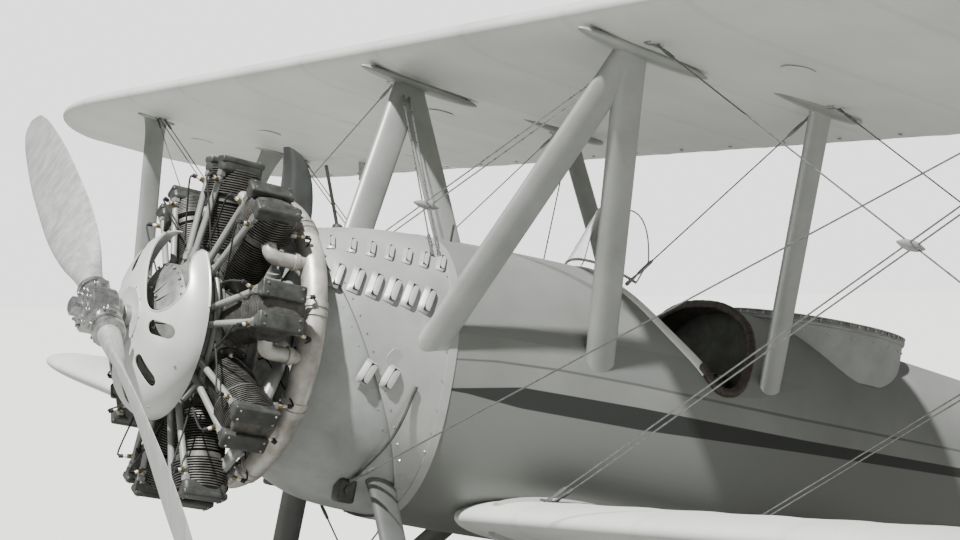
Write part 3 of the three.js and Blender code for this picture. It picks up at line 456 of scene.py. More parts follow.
def pale_floor():
    """Pale where the camera sees it, and a duller grey for the light that it throws back up."""
    made, tree, shader = finish("Pale studio floor", "#e2e2df", 0.9)
    rays = add(tree, "ShaderNodeLightPath")
    seen = add(tree, "ShaderNodeMath", {
        0: rays.outputs["Is Camera Ray"], 1: rays.outputs["Is Transmission Ray"],
    }, operation="MAXIMUM")
    mix = add(tree, "ShaderNodeMix", {0: seen.outputs[0], 6: linear("#8c8c89"), 7: linear("#e2e2df")},
              data_type="RGBA")
    tree.links.new(mix.outputs[2], shader.inputs["Base Color"])
    return made


floor_paper = pale_floor()


# %% [markdown]
# ## Shapes
# A shape here is a pair: a list of points in flight coordinates and a list of faces. Rings of
# points joined into skins make most of the aircraft, because wings, struts, pipes and the
# fuselage are all sections carried along a line. A piece is one or more shapes, each with its
# finish, parked, shaded smooth up to a crease angle, and given to the body that carries it.

# %% Building blocks
def skin(rings, caps=True, loop=False):
    """Faces between rings of equally many points, with the two end rings filled."""
    count = len(rings[0])
    points = [tuple(point) for ring in rings for point in ring]
    faces = []
    pairs = len(rings) if loop else len(rings) - 1
    for row in range(pairs):
        here, there = row * count, ((row + 1) % len(rings)) * count
        for i in range(count):
            j = (i + 1) % count
            faces.append((here + i, here + j, there + j, there + i))
    if caps and not loop:
        faces.append(tuple(reversed(range(count))))
        faces.append(tuple(range(len(points) - count, len(points))))
    return points, faces


def turns(count, more=0):
    """Even angles round a full turn, and some more where an outline closes on itself."""
    return [i / count * math.tau for i in range(count + more)]


def heading(points, i):
    """From the point before to the point after, on a line of points."""
    return points[min(i + 1, len(points) - 1)] - points[max(i - 1, 0)]


def together(*shapes):
    points, faces = [], []
    for shape in shapes:
        start = len(points)
        points += list(shape[0])
        faces += [tuple(start + i for i in face) for face in shape[1]]
    return points, faces


def moved(shape, matrix):
    return [tuple(matrix @ Vector(point)) for point in shape[0]], shape[1]


def shifted(shape, *offset):
    return moved(shape, Matrix.Translation(offset))


def mirrored(shape):
    return [(-x, y, z) for x, y, z in shape[0]], [tuple(reversed(face)) for face in shape[1]]


def both(shape):
    return together(shape, mirrored(shape))


def frame_along(direction, near=(0, 1, 0)):
    """Two directions across a line; the first leans towards `near`."""
    along = Vector(direction).normalized()
    across = Vector(near) - along * along.dot(Vector(near))
    if across.length < 1e-6:
        across = Vector((1, 0, 0)) - along * along.x
    across.normalize()
    return along, across, along.cross(across)


def circle(centre, direction, radius, sides, near=(0, 1, 0)):
    _, across, other = frame_along(direction, near)
    turn = math.tau / sides
    return [Vector(centre) + radius * (math.cos(i * turn) * across + math.sin(i * turn) * other)
            for i in range(sides)]


def rod(start, end, radius, sides=12, end_radius=None):
    direction = Vector(end) - Vector(start)
    last = radius if end_radius is None else end_radius
    return skin([circle(start, direction, radius, sides), circle(end, direction, last, sides)])


def pipe(path, radius, sides=12):
    """A round pipe through points; radius is one number or one for each point."""
    path = [Vector(point) for point in path]
    radii = radius if isinstance(radius, list) else [radius] * len(path)
    near = (0, 1, 0)
    rings = []
    for i, centre in enumerate(path):
        ahead = heading(path, i)
        _, across, _ = frame_along(ahead, near)
        near = across
        rings.append(circle(centre, ahead, radii[i], sides, near))
    return skin(rings)


def curve_through(points, steps):
    """Points of a smooth curve through the given ones."""
    points = [Vector(point) for point in points]
    ends = [2 * points[0] - points[1]] + points + [2 * points[-1] - points[-2]]
    found = []
    for a, b, c, d in zip(ends, ends[1:], ends[2:], ends[3:]):
        for i in range(steps):
            t = i / steps
            found.append(0.5 * ((2 * b) + (c - a) * t + (2 * a - 5 * b + 4 * c - d) * t ** 2
                                + (3 * b - a - 3 * c + d) * t ** 3))
    return found + [points[-1]]


def turned(profile, sides, centre=(0, 0, 0), axis=(0, 1, 0), near=(0, 0, 1)):
    """A solid of revolution, from pairs of radius and place along the axis. Where the last pair
    repeats the first, it is a ring with a hole."""
    along, across, other = frame_along(axis, near)
    turn = math.tau / sides
    rings = []
    for radius, place_along in profile:
        middle = Vector(centre) + along * place_along
        rings.append([middle + radius * (math.cos(i * turn) * across + math.sin(i * turn) * other)
                      for i in range(sides)])
    if (Vector(profile[0]) - Vector(profile[-1])).length < 1e-6:
        return skin(rings[:-1], loop=True)
    return skin(rings)


def as_shape(bm):
    bm.verts.index_update()
    found = [tuple(v.co) for v in bm.verts], [tuple(v.index for v in f.verts) for f in bm.faces]
    bm.free()
    return found


def block(low, high, bevel=0.002, segments=2):
    """A box with rounded edges."""
    bm = bmesh.new()
    bmesh.ops.create_cube(bm, size=1)
    size = Vector(high) - Vector(low)
    for vertex in bm.verts:
        vertex.co = Vector(low) + Vector((c + 0.5) * s for c, s in zip(vertex.co, size))
    if bevel:
        bmesh.ops.bevel(bm, geom=bm.edges[:], offset=min(bevel, min(size) * 0.45), segments=segments,
                        affect="EDGES", profile=0.5)
    return as_shape(bm)


def plate(outline, thickness, to_place, bevel=0.0008):
    """A flat outline in X and Y made thick along Z, then moved by a matrix."""
    bm = bmesh.new()
    face = bm.faces.new([bm.verts.new((x, y, -thickness / 2)) for x, y in outline])
    top = bmesh.ops.extrude_face_region(bm, geom=[face])["geom"]
    bmesh.ops.translate(bm, vec=(0, 0, thickness),
                        verts=[v for v in top if isinstance(v, bmesh.types.BMVert)])
    bmesh.ops.recalc_face_normals(bm, faces=bm.faces[:])
    if bevel:
        rims = [e for e in bm.edges if abs(e.verts[0].co.z - e.verts[1].co.z) < 1e-7]
        bmesh.ops.bevel(bm, geom=rims, offset=bevel, segments=1, affect="EDGES")
    return moved(as_shape(bm), to_place)


def basis(centre, across, up, normal):
    turn = Matrix((across, up, normal)).transposed().to_4x4()
    return Matrix.Translation(centre) @ turn


# %% Pieces
def cleaned(mesh, crease):
    bm = bmesh.new()
    bm.from_mesh(mesh)
    bmesh.ops.remove_doubles(bm, verts=bm.verts[:], dist=2e-6)
    bmesh.ops.recalc_face_normals(bm, faces=bm.faces[:])
    bm.to_mesh(mesh)
    bm.free()
    mesh.shade_smooth()
    mesh.set_sharp_from_angle(angle=math.radians(crease))


def flight_mesh(name, parts):
    """A mesh in flight coordinates from pairs of shape and finish."""
    mesh = bpy.data.meshes.new(name)
    points, faces, finishes = [], [], []
    for number, (shape, material) in enumerate(parts):
        start = len(points)
        points += list(shape[0])
        faces += [tuple(start + i for i in face) for face in shape[1]]
        finishes += [number] * len(shape[1])
        mesh.materials.append(material)
    mesh.from_pydata([tuple(p) for p in points], [], faces)
    mesh.polygons.foreach_set("material_index", finishes)
    return mesh


def settle(made, body, stands_for):
    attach(made, body)
    if stands_for:
        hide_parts(*stands_for)


# %% [markdown]
# ## Geometry Nodes trees
# Small things that come by the dozen are made by trees. `copies` puts a copy of one object on
# every point of a base mesh, turned by two directions that the points carry. `round_copies` turns
# a whole object about the thrust line, as cylinders sit round a crankcase. `fin_stack` draws
# thin rings along a line. `ribbed` pulls the fabric of a wing in between its ribs. Each result is
# turned into a plain mesh at once, still in flight coordinates.

# %% Tree helpers
def new_tree(name, sockets):
    """A tree with geometry in and out, and one named input for each row."""
    tree = bpy.data.node_groups.new(name, "GeometryNodeTree")
    tree.interface.new_socket("Geometry", in_out="INPUT", socket_type="NodeSocketGeometry")
    for socket_name, kind, value in sockets:
        socket = tree.interface.new_socket(socket_name, in_out="INPUT", socket_type=kind)
        if value is not None:
            socket.default_value = value
    tree.interface.new_socket("Geometry", in_out="OUTPUT", socket_type="NodeSocketGeometry")
    return tree, tree.nodes.new("NodeGroupInput")


def close_tree(tree, given, geometry):
    """Every tree ends by realizing its instances and setting the finish."""
    real = add(tree, "GeometryNodeRealizeInstances", {"Geometry": geometry})
    painted = add(tree, "GeometryNodeSetMaterial", {"Geometry": real, "Material": given.outputs["Finish"]})
    add(tree, "NodeGroupOutput", {"Geometry": painted})
    return tree


def evaluated_mesh(holder):
    """A plain mesh of an object as its modifiers leave it."""
    depsgraph = bpy.context.evaluated_depsgraph_get()
    return bpy.data.meshes.new_from_object(holder.evaluated_get(depsgraph))


def grow(tree, base, **values):
    """The plain mesh that a tree makes from a base mesh; spaces in names are underscores."""
    holder = linked(tree.name, base)
    modifier = holder.modifiers.new("Tree", "NODES")
    modifier.node_group = tree
    identifiers = {item.name: item.identifier for item in tree.interface.items_tree
                   if item.in_out == "INPUT"}
    for key, value in values.items():
        modifier[identifiers[key.replace("_", " ")]] = value
    made = evaluated_mesh(holder)
    bpy.data.objects.remove(holder)
    return made


# %% Copies on points that carry their directions
def copies_tree():
    tree, given = new_tree("Copies on points", [
        ("Copy", "NodeSocketObject", None), ("Finish", "NodeSocketMaterial", None),
    ])
    facing = add(tree, "GeometryNodeInputNamedAttribute", {"Name": "facing"}, data_type="FLOAT_VECTOR")
    along = add(tree, "GeometryNodeInputNamedAttribute", {"Name": "along"}, data_type="FLOAT_VECTOR")
    size = add(tree, "GeometryNodeInputNamedAttribute", {"Name": "size"}, data_type="FLOAT")
    upright = add(tree, "FunctionNodeAlignRotationToVector", {"Vector": facing.outputs[0]}, axis="Z")
    turned_to = add(tree, "FunctionNodeAlignRotationToVector", {
        "Rotation": upright.outputs[0], "Vector": along.outputs[0],
    }, axis="X", pivot_axis="Z")
    source = add(tree, "GeometryNodeObjectInfo", {"Object": given.outputs["Copy"]})
    copies = add(tree, "GeometryNodeInstanceOnPoints", {
        "Points": given.outputs["Geometry"], "Instance": source.outputs["Geometry"],
        "Rotation": turned_to.outputs[0], "Scale": size.outputs[0],
    })
    return close_tree(tree, given, copies)


copies = copies_tree()


def copied(shape, rows, material):
    """Copies of a shape, one for each row: place, facing, along and perhaps size."""
    source = bpy.data.meshes.new("copy")
    source.from_pydata(shape[0], [], shape[1])
    cleaned(source, 32)
    original = linked("copy", source)
    base = bpy.data.meshes.new("points")
    base.from_pydata([tuple(row[0]) for row in rows], [], [])
    for number, key in ((1, "facing"), (2, "along")):
        layer = base.attributes.new(key, "FLOAT_VECTOR", "POINT")
        layer.data.foreach_set("vector", [c for row in rows for c in Vector(row[number])])
    sizes = base.attributes.new("size", "FLOAT", "POINT")
    sizes.data.foreach_set("value", [row[3] if len(row) > 3 else 1.0 for row in rows])
    made = grow(copies, base, Copy=original, Finish=material)
    bpy.data.objects.remove(original)
    return made


# %% Copies turned about the thrust line
def round_tree():
    tree, given = new_tree("Copies round the thrust line", [
        ("Count", "NodeSocketInt", 9), ("Start angle", "NodeSocketFloat", 0.0),
    ])
    line = add(tree, "GeometryNodeMeshLine", {"Count": given.outputs["Count"], "Offset": (0, 0, 0)})
    number = add(tree, "GeometryNodeInputIndex")
    share = add(tree, "ShaderNodeMath", {0: number.outputs[0], 1: given.outputs["Count"]},
                operation="DIVIDE")
    angle = add(tree, "ShaderNodeMath", {0: share.outputs[0], 1: math.tau, 2: given.outputs["Start angle"]},
                operation="MULTIPLY_ADD")
    turn = add(tree, "ShaderNodeCombineXYZ", {"Y": angle.outputs[0]})
    ring = add(tree, "GeometryNodeInstanceOnPoints", {
        "Points": line.outputs[0], "Instance": given.outputs["Geometry"], "Rotation": turn.outputs[0],
    })
    real = add(tree, "GeometryNodeRealizeInstances", {"Geometry": ring.outputs[0]})
    add(tree, "NodeGroupOutput", {"Geometry": real})
    return tree


round_copies = round_tree()


# %% Cooling fins along a line
def fin_tree():
    """Thin rings stacked along Z: full radius at the first, times the taper at the last."""
    tree, given = new_tree("Cooling fins", [
        ("Count", "NodeSocketInt", 12), ("First", "NodeSocketFloat", 0.3),
        ("Pitch", "NodeSocketFloat", 0.01), ("Radius", "NodeSocketFloat", 0.074),
        ("Taper", "NodeSocketFloat", 1.0), ("Thickness", "NodeSocketFloat", 0.003),
        ("Sides", "NodeSocketInt", 24), ("Finish", "NodeSocketMaterial", None),
    ])
    start = add(tree, "ShaderNodeCombineXYZ", {"Z": given.outputs["First"]})
    step = add(tree, "ShaderNodeCombineXYZ", {"Z": given.outputs["Pitch"]})
    line = add(tree, "GeometryNodeMeshLine", {
        "Count": given.outputs["Count"], "Start Location": start.outputs[0], "Offset": step.outputs[0],
    })
    disc = add(tree, "GeometryNodeMeshCylinder", {
        "Vertices": given.outputs["Sides"], "Radius": given.outputs["Radius"],
        "Depth": given.outputs["Thickness"],
    })
    number = add(tree, "GeometryNodeInputIndex")
    last = add(tree, "ShaderNodeMath", {0: given.outputs["Count"], 1: 1.0}, operation="SUBTRACT")
    share = add(tree, "ShaderNodeMath", {0: number.outputs[0], 1: last.outputs[0]}, operation="DIVIDE")
    width = add(tree, "ShaderNodeMapRange", {"Value": share.outputs[0], "To Min": 1.0,
                                             "To Max": given.outputs["Taper"]})
    scale = add(tree, "ShaderNodeCombineXYZ", {"X": width.outputs[0], "Y": width.outputs[0], "Z": 1.0})
    stack = add(tree, "GeometryNodeInstanceOnPoints", {
        "Points": line.outputs[0], "Instance": disc.outputs["Mesh"], "Scale": scale.outputs[0],
    })
    return close_tree(tree, given, stack.outputs[0])


fin_stack = fin_tree()


# %% Fabric pulled in between ribs
# Share of the chord in which the sag begins, behind the stiff nose
soft_share = 0.12


def rib_tree():
    """Points sink along their normals between ribs; `share` tells how far back along the chord."""
    tree, given = new_tree("Fabric over ribs", [
        ("Rib spacing", "NodeSocketFloat", 0.34), ("Sag", "NodeSocketFloat", 0.005),
        ("Stiff nose", "NodeSocketFloat", 0.12), ("Across", "NodeSocketVector", (1, 0, 0)),
        ("Finish", "NodeSocketMaterial", None),
    ])
    position = add(tree, "GeometryNodeInputPosition")
    place_across = add(tree, "ShaderNodeVectorMath", {0: position.outputs[0], 1: given.outputs["Across"]},
                       operation="DOT_PRODUCT")
    bays = add(tree, "ShaderNodeMath", {0: place_across.outputs["Value"], 1: given.outputs["Rib spacing"]},
               operation="DIVIDE")
    angle = add(tree, "ShaderNodeMath", {0: bays.outputs[0], 1: math.pi}, operation="MULTIPLY")
    wave = add(tree, "ShaderNodeMath", {0: angle.outputs[0]}, operation="SINE")
    height = add(tree, "ShaderNodeMath", {0: wave.outputs[0]}, operation="ABSOLUTE")
    share = add(tree, "GeometryNodeInputNamedAttribute", {"Name": "share"}, data_type="FLOAT")
    soft_end = add(tree, "ShaderNodeMath", {0: given.outputs["Stiff nose"], 1: soft_share}, operation="ADD")
    soft = add(tree, "ShaderNodeMapRange", {
        "Value": share.outputs[0], "From Min": given.outputs["Stiff nose"], "From Max": soft_end.outputs[0],
    }, interpolation_type="SMOOTHSTEP")
    depth = add(tree, "ShaderNodeMath", {0: height.outputs[0], 1: soft.outputs[0]}, operation="MULTIPLY")
    sunk = add(tree, "ShaderNodeMath", {0: depth.outputs[0], 1: given.outputs["Sag"]},
               operation="MULTIPLY")
    inward = add(tree, "ShaderNodeMath", {0: sunk.outputs[0], 1: -1.0}, operation="MULTIPLY")
    normal = add(tree, "GeometryNodeInputNormal")
    offset = add(tree, "ShaderNodeVectorMath", {0: normal.outputs[0], "Scale": inward.outputs[0]},
                 operation="SCALE")
    moved_points = add(tree, "GeometryNodeSetPosition", {
        "Geometry": given.outputs["Geometry"], "Offset": offset.outputs[0],
    })
    return close_tree(tree, given, moved_points)


ribbed = rib_tree()


# %% Whole pieces from meshes
def joined(name, meshes):
    """Several meshes in one, with all their finishes."""
    whole = bpy.data.meshes.new(name)
    bm = bmesh.new()
    for mesh in meshes:
        start = len(whole.materials)
        first = len(bm.faces)
        bm.from_mesh(mesh)
        bm.faces.ensure_lookup_table()
        for face in bm.faces[first:]:
            face.material_index += start
        for material in mesh.materials:
            whole.materials.append(material)
    bm.to_mesh(whole)
    bm.free()
    return whole


def mirrored_mesh(mesh):
    other = mesh.copy()
    other.transform(Matrix.Scale(-1, 4, (1, 0, 0)))
    other.flip_normals()
    return other


def meshed(parts, crease=32):
    mesh = flight_mesh("parts", parts)
    cleaned(mesh, crease)
    return mesh


def piece_of(name, meshes, body="airframe", stands_for=(), crease=32):
    """A finished piece from meshes in flight coordinates, with their faces already outwards."""
    mesh = joined(name, meshes)
    mesh.shade_smooth()
    mesh.set_sharp_from_angle(angle=math.radians(crease))
    mesh.transform(parked)
    made = linked(name, mesh)
    settle(made, body, stands_for)
    return made


def piece(name, parts, body="airframe", stands_for=(), crease=32):
    """A finished piece from pairs of shape and finish."""
    return piece_of(name, [meshed(parts, crease)], body, stands_for, crease)


def pair_of(name, meshes, bodies=None, stands_for=(), crease=32):
    for side in ("port", "starboard"):
        here = meshes if side == "port" else [mirrored_mesh(mesh) for mesh in meshes]
        piece_of(f"{name}_{side}", here, f"{bodies}_{side}" if bodies else "airframe",
                 [f"{node}_{side}" for node in stands_for], crease)


# %% [markdown]
# Two small fasteners serve the whole aircraft: a round-headed rivet and a six-sided bolt head
# on a washer. Rows of them are lists of places with the direction that each one faces.

# %% Fasteners
def rivet_shape(radius=3.5 * mm, height=1.6 * mm):
    return turned([(radius, -0.2 * mm), (radius * 0.94, height * 0.45), (radius * 0.55, height)], 7,
                  axis=(0, 0, 1), near=(1, 0, 0))


def bolt_shape(across=11 * mm, height=7 * mm):
    washer = turned([(across * 0.75, -0.3 * mm), (across * 0.75, 1.6 * mm)], 14, axis=(0, 0, 1),
                    near=(1, 0, 0))
    head = turned([(across * 0.56, 1.6 * mm), (across * 0.56, height * 0.85), (across * 0.46, height)], 6,
                  axis=(0, 0, 1), near=(1, 0, 0))
    return together(washer, head)


# %% [markdown]
# ## Fuselage
# The body is a rounded box whose sections follow one table: where it is along the aircraft, how
# wide it is, and how low and high it reaches. A superellipse with power 2.4 joins those four
# extremes, and a smooth curve joins the sections.

# %% Fuselage sections
# Place along the fuselage, half width, lowest and highest point
fuselage_sections = [
    (0.600, 0.380, -0.398, 0.385), (0.700, 0.408, -0.455, 0.432), (0.850, 0.430, -0.520, 0.470),
    (1.120, 0.442, -0.545, 0.500), (1.860, 0.460, -0.556, 0.527), (2.600, 0.460, -0.550, 0.505),
    (3.300, 0.438, -0.520, 0.478), (4.100, 0.368, -0.440, 0.432), (5.100, 0.258, -0.322, 0.368),
    (6.100, 0.138, -0.180, 0.300), (6.720, 0.042, -0.070, 0.250),
]
roundness = 2.4
skin_depth = 0.014


def eased(rows, place_in):
    """Values of a table at a place, on smooth curves that never overshoot the rows."""
    rows = [Vector(row) for row in rows]
    after = next((i for i, row in enumerate(rows) if row[0] >= place_in), len(rows) - 1)
    after = max(after, 1)
    a, b = rows[after - 1], rows[after]
    span = b[0] - a[0]
    t = min(max((place_in - a[0]) / span, 0), 1)

    def slope(i):
        if i == 0 or i == len(rows) - 1:
            j = min(i, len(rows) - 2)
            return (rows[j + 1] - rows[j]) / (rows[j + 1][0] - rows[j][0])
        before = (rows[i] - rows[i - 1]) / (rows[i][0] - rows[i - 1][0])
        behind = (rows[i + 1] - rows[i]) / (rows[i + 1][0] - rows[i][0])
        return Vector((p + q) / 2 if p * q > 0 else 0 for p, q in zip(before, behind))

    m, n = slope(after - 1) * span, slope(after) * span
    return ((2 * t ** 3 - 3 * t ** 2 + 1) * a + (t ** 3 - 2 * t ** 2 + t) * m
            + (3 * t ** 2 - 2 * t ** 3) * b + (t ** 3 - t ** 2) * n)


def bent(value):
    return math.copysign(abs(value) ** (2 / roundness), value)


def on_fuselage(y, angle, grow=0.0):
    """A point of the fuselage's surface; angle zero is the port side and a quarter turn the top."""
    _, half, low, high = eased(fuselage_sections, y)
    middle, tall = (low + high) / 2, (high - low) / 2 + grow
    return Vector(((half + grow) * bent(math.cos(angle)), y, middle + tall * bent(math.sin(angle))))


def side_of_fuselage(y, z, grow=0.0):
    """The port surface's point at a place along and a height."""
    _, half, low, high = eased(fuselage_sections, y)
    middle, tall = (low + high) / 2, (high - low) / 2 + grow
    share = min(abs((z - middle) / tall), 1)
    return Vector(((half + grow) * (1 - share ** roundness) ** (1 / roundness), y, z))


def outward(y, z):
    """The direction that the port surface faces at a place and height."""
    step = 0.004
    here = side_of_fuselage(y, z)
    back = side_of_fuselage(y + step, z) - here
    up = side_of_fuselage(y, z + step) - here
    normal = back.cross(up).normalized()
    return normal if normal.x > 0 else -normal


ring_points = 96
angles = [(i + 0.5) / ring_points * math.tau for i in range(ring_points)]

# %% [markdown]
# The skin runs from behind the louvred cowl to the rudder post as one thin closed shell. The two
# cockpits are cut out of it with the Boolean modifier, using outlines made of arcs and lines, and
# the wood and fabric inside then show through the openings.

# %% Cockpit outlines
# The front cockpit's edge seen from the side, from the front of the opening to its rear
front_edge = [
    (1.850, 0.512), (1.885, 0.470), (1.940, 0.424), (2.052, 0.331), (2.190, 0.235), (2.255, 0.180),
    (2.295, 0.151), (2.335, 0.144), (2.378, 0.154), (2.415, 0.190), (2.448, 0.262), (2.478, 0.330),
    (2.510, 0.424),
]
rear_well = {"y": 3.090, "radius": 0.345}
bay_start, tail_post = 1.120, 6.720


def front_cutter():
    smooth = curve_through([(0, y, z) for y, z in front_edge], 6)
    outline = [(v.y, v.z) for v in smooth] + [(2.510, 0.8), (1.850, 0.8)]
    sides = [[Vector((x, y, z)) for y, z in outline] for x in (-0.7, 0.7)]
    return skin(sides)


def well_cutter():
    return turned([(rear_well["radius"], 0.2), (rear_well["radius"], 0.9)], 96,
                  centre=(0, rear_well["y"], 0), axis=(0, 0, 1), near=(1, 0, 0))


def cut_out(mesh, shapes):
    """The mesh with shapes cut out of it by exact booleans."""
    holder = linked("cut", mesh)
    cutters = []
    for shape in shapes:
        cutter = linked("cutter", meshed([(shape, mesh.materials[0])]))
        modifier = holder.modifiers.new("Cut", "BOOLEAN")
        modifier.object = cutter
        modifier.solver = "EXACT"
        cutters.append(cutter)
    made = evaluated_mesh(holder)
    for item in [holder, *cutters]:
        bpy.data.objects.remove(item)
    return made


# %% Fuselage skin
def long_stations(start, end, step):
    count = max(round((end - start) / step), 1)
    return [start + (end - start) * i / count for i in range(count + 1)]


def hoop(y, grow=0.0):
    return [on_fuselage(y, angle, grow) for angle in angles]


def fuselage_shell():
    inside_end = 6.55
    places = long_stations(bay_start + 0.0005, tail_post, 0.075)
    outer = [hoop(y) for y in places]
    inner = [hoop(y, -skin_depth) for y in reversed(places) if y < inside_end]
    front_lip = hoop(places[0], -skin_depth)
    shell = skin([*outer, outer[-1]], caps=False)
    end_cap = ([tuple(p) for p in outer[-1]], [tuple(range(ring_points))])
    closed_end = hoop(inside_end, -skin_depth)
    inside = skin(inner, caps=False)
    lip = skin([outer[0], front_lip], caps=False)
    inner_cap = ([tuple(p) for p in closed_end], [tuple(range(ring_points))])
    mesh = flight_mesh("fuselage", [
        (together(shell, end_cap, lip), stripes_and_shade_fabric), (together(inside, inner_cap), dark_inside),
    ])
    cleaned(mesh, 30)
    return mesh


shell = cut_out(fuselage_shell(), [front_cutter(), well_cutter()])
print("fuselage shell faces", len(shell.polygons))

# %% [markdown]
# Behind the rear cockpit, and low along the sides, wooden stringers push the fabric out into long
# soft ridges. Each is a slim half-round strip that sinks into the skin at both ends.

# %% Stringers
def stringer(angle, start, end, width=0.016, height=0.0045):
    rings = []
    for y in long_stations(start, end, 0.12):
        fade = min((y - start) / 0.25, (end - y) / 0.25, 1)
        centre = on_fuselage(y, angle, -0.001)
        beside = (on_fuselage(y, angle + 0.01) - on_fuselage(y, angle - 0.01)).normalized()
        out = beside.cross(Vector((0, 1, 0)))
        out = out if out.dot(centre - Vector((0, y, 0))) > 0 else -out
        rings.append([centre + beside * math.cos(a) * width + out * math.sin(a) * height * max(fade, 0.02)
                      for a in [math.pi * i / 6 for i in range(7)]]
                     + [centre - out * 0.004])
    return skin(rings)


stringer_angles = [math.radians(a) for a in (-52, -36, -20, 158, 200, 216, 232, 22, 40, 140, 58, 122)]
stringers = together(*[stringer(a, 3.62 if a > 0 and a < math.pi else 3.3, 6.5) for a in stringer_angles])
piece_of("fuselage_skin", [shell, meshed([(stringers, stripes_and_shade_fabric)], 60)],
         crease=30,
         stands_for=("fuselage_nose", "fuselage_front_bay", "fuselage_rear_bay", "fuselage_tail"))

# %% [markdown]
# The light cowl behind the engine ends in a slanting seam, with the dark cone in front of it.
# The seam is a plane, so each ring of points along the cowl slides from the plane to the cowl's
# square rear end. The cone is 10 mm smaller all round, which leaves a dark step at the seam.

# %% Cowls
seam = {"top": (0.604, 0.372), "low": (1.068, -0.445), "step": 0.010, "thick": 0.006}
cone_front = 0.600


def seam_place(z):
    (top_y, top_z), (low_y, low_z) = seam["top"], seam["low"]
    return top_y + (z - top_z) * (low_y - top_y) / (low_z - top_z)


def slid(angle, share, front, rear, grow):
    """A point between two edges; each edge gives its place along for a height."""
    y = front(0) * (1 - share) + rear(0) * share
    for _ in range(12):
        z = on_fuselage(max(y, cone_front), angle, grow).z
        y = front(z) * (1 - share) + rear(z) * share
    return on_fuselage(max(y, cone_front), angle, grow)


def cowl_skin(front, rear, grow, thick, steps=22):
    outer = [[slid(a, i / steps, front, rear, grow) for a in angles] for i in range(steps + 1)]
    inner = [[slid(a, i / steps, front, rear, grow - thick) for a in angles]
             for i in range(steps, -1, -1)]
    return skin([*outer, *inner], caps=False, loop=True)


def square(y):
    return lambda z: y


cowl = cowl_skin(seam_place, square(bay_start - 0.0006), 0.0015, seam["thick"])
cone = cowl_skin(square(cone_front), lambda z: max(seam_place(z) + 0.02, cone_front), -seam["step"],
                 seam["thick"])
bulkhead = skin([hoop(cone_front + 0.004, -seam["step"] - 0.004),
                 hoop(cone_front + 0.012, -seam["step"] - 0.004)])


# %% [markdown]
# Louvres let the hot air out. Each is a hood pressed out of the sheet: closed and rounded in
# front, open at its rear edge. The opening is not cut: a black block under the hood's rear edge is
# painted shade in it. A row's places are at even steps along the cowl, and each louvre faces where
# the surface faces.

# %% Louvres
def louvre_shape(long, wide, high, steps=9):
    """A pressed hood: X runs aft to its open edge, Y along the slit, Z outwards."""
    rings = []
    for i in range(steps + 1):
        along = -1 + 2 * i / steps
        end = max(1 - abs(along) ** 4, 0) ** 0.5
        arc = []
        for j in range(7):
            share = j / 6
            rise = high * end * math.sin(share * math.pi / 2) ** 0.9
            arc.append(Vector((wide * (share - 1), along * long / 2, max(rise, 0.0002))))
        under = [Vector((0, along * long / 2, max(high * end - 0.0014, 0.0001))),
                 Vector((-wide * 0.9, along * long / 2, -0.002))]
        rings.append(arc + under)
    return skin(rings)


# A black block under a louvre's rear edge: painted shade in its opening.
def painted_shade_slit(long, wide, high):
    return block((-wide * 0.55, -long * 0.42, -0.001), (-0.0012, long * 0.42, high * 0.72), 0.0006, 1)


# First and last place, height at both, number, length, width and rise, and lean of the slit
louvre_rows = [
    {"first": (0.700, 0.384), "last": (1.098, 0.388), "count": 7, "long": 0.090, "wide": 0.030,
     "high": 0.013, "lean": 30},
    {"first": (0.690, 0.262), "last": (1.022, 0.238), "count": 6, "long": 0.106, "wide": 0.040,
     "high": 0.017, "lean": 22},
    {"first": (0.826, -0.050), "last": (0.912, -0.053), "count": 2, "long": 0.088, "wide": 0.042,
     "high": 0.020, "lean": 22},
]


def louvre_places(row):
    (y0, z0), (y1, z1) = row["first"], row["last"]
    found = []
    for i in range(row["count"]):
        t = i / max(row["count"] - 1, 1)
        y, z = y0 + (y1 - y0) * t, z0 + (z1 - z0) * t
        normal = outward(y, z)
        lean = math.radians(row["lean"])
        aft = Vector((0, math.cos(lean), -math.sin(lean)))
        aft = (aft - normal * aft.dot(normal)).normalized()
        where = side_of_fuselage(y, z, 0.0015)
        found.append((where, normal, aft))
        found.append((mirrored_place(where), mirrored_place(normal), mirrored_place(aft)))
    return found


def mirrored_place(vector):
    return Vector((-vector[0], vector[1], vector[2]))


louvre_meshes = []
for row in louvre_rows:
    rows_of_places = louvre_places(row)
    louvre_meshes.append(copied(louvre_shape(row["long"], row["wide"], row["high"]), rows_of_places,
                                silver_sheet))
    louvre_meshes.append(copied(painted_shade_slit(row["long"], row["wide"], row["high"]), rows_of_places,
                                dial_black))
print("louvres", sum(2 * row["count"] for row in louvre_rows))

# %% Cowl fasteners
def seam_rivets(offset, spacing=0.062, grow=0.0015):
    """Rivets that follow the slanting seam round the body."""
    places, last = [], None
    for i in range(720):
        angle = i / 720 * math.tau
        point = slid(angle, 0, lambda z: seam_place(z) + offset, square(bay_start), grow)
        if point.y < cone_front + 0.01:
            continue
        if last is None or (point - last).length > spacing:
            normal = (point - Vector((0, point.y, 0))).normalized()
            places.append((point, normal, (0, 1, 0)))
            last = point
    return places


def hoop_rivets(y, count, grow=0.0015):
    places = []
    for i in range(count):
        point = on_fuselage(y, i / count * math.tau, grow)
        places.append((point, (point - Vector((0, y, 0))).normalized(), (0, 1, 0)))
    return places


cowl_screws = copied(rivet_shape(4.5 * mm, 2 * mm), seam_rivets(0.022) + hoop_rivets(1.098, 44),
                     bright_steel)
strap = cowl_skin(square(1.104), square(1.138), 0.0035, 0.003, 2)
handhole = plate([(math.cos(a) ** 3 * 0.022 + math.copysign(0.012, math.cos(a)),
                   math.sin(a) * 0.036) for a in [i / 24 * math.tau + 0.01 for i in range(24)]], 0.003,
                 basis(side_of_fuselage(0.905, 0.02, 0.001), Vector((0, 1, 0)), Vector((0, 0, 1)),
                       Vector((1, 0, 0))))
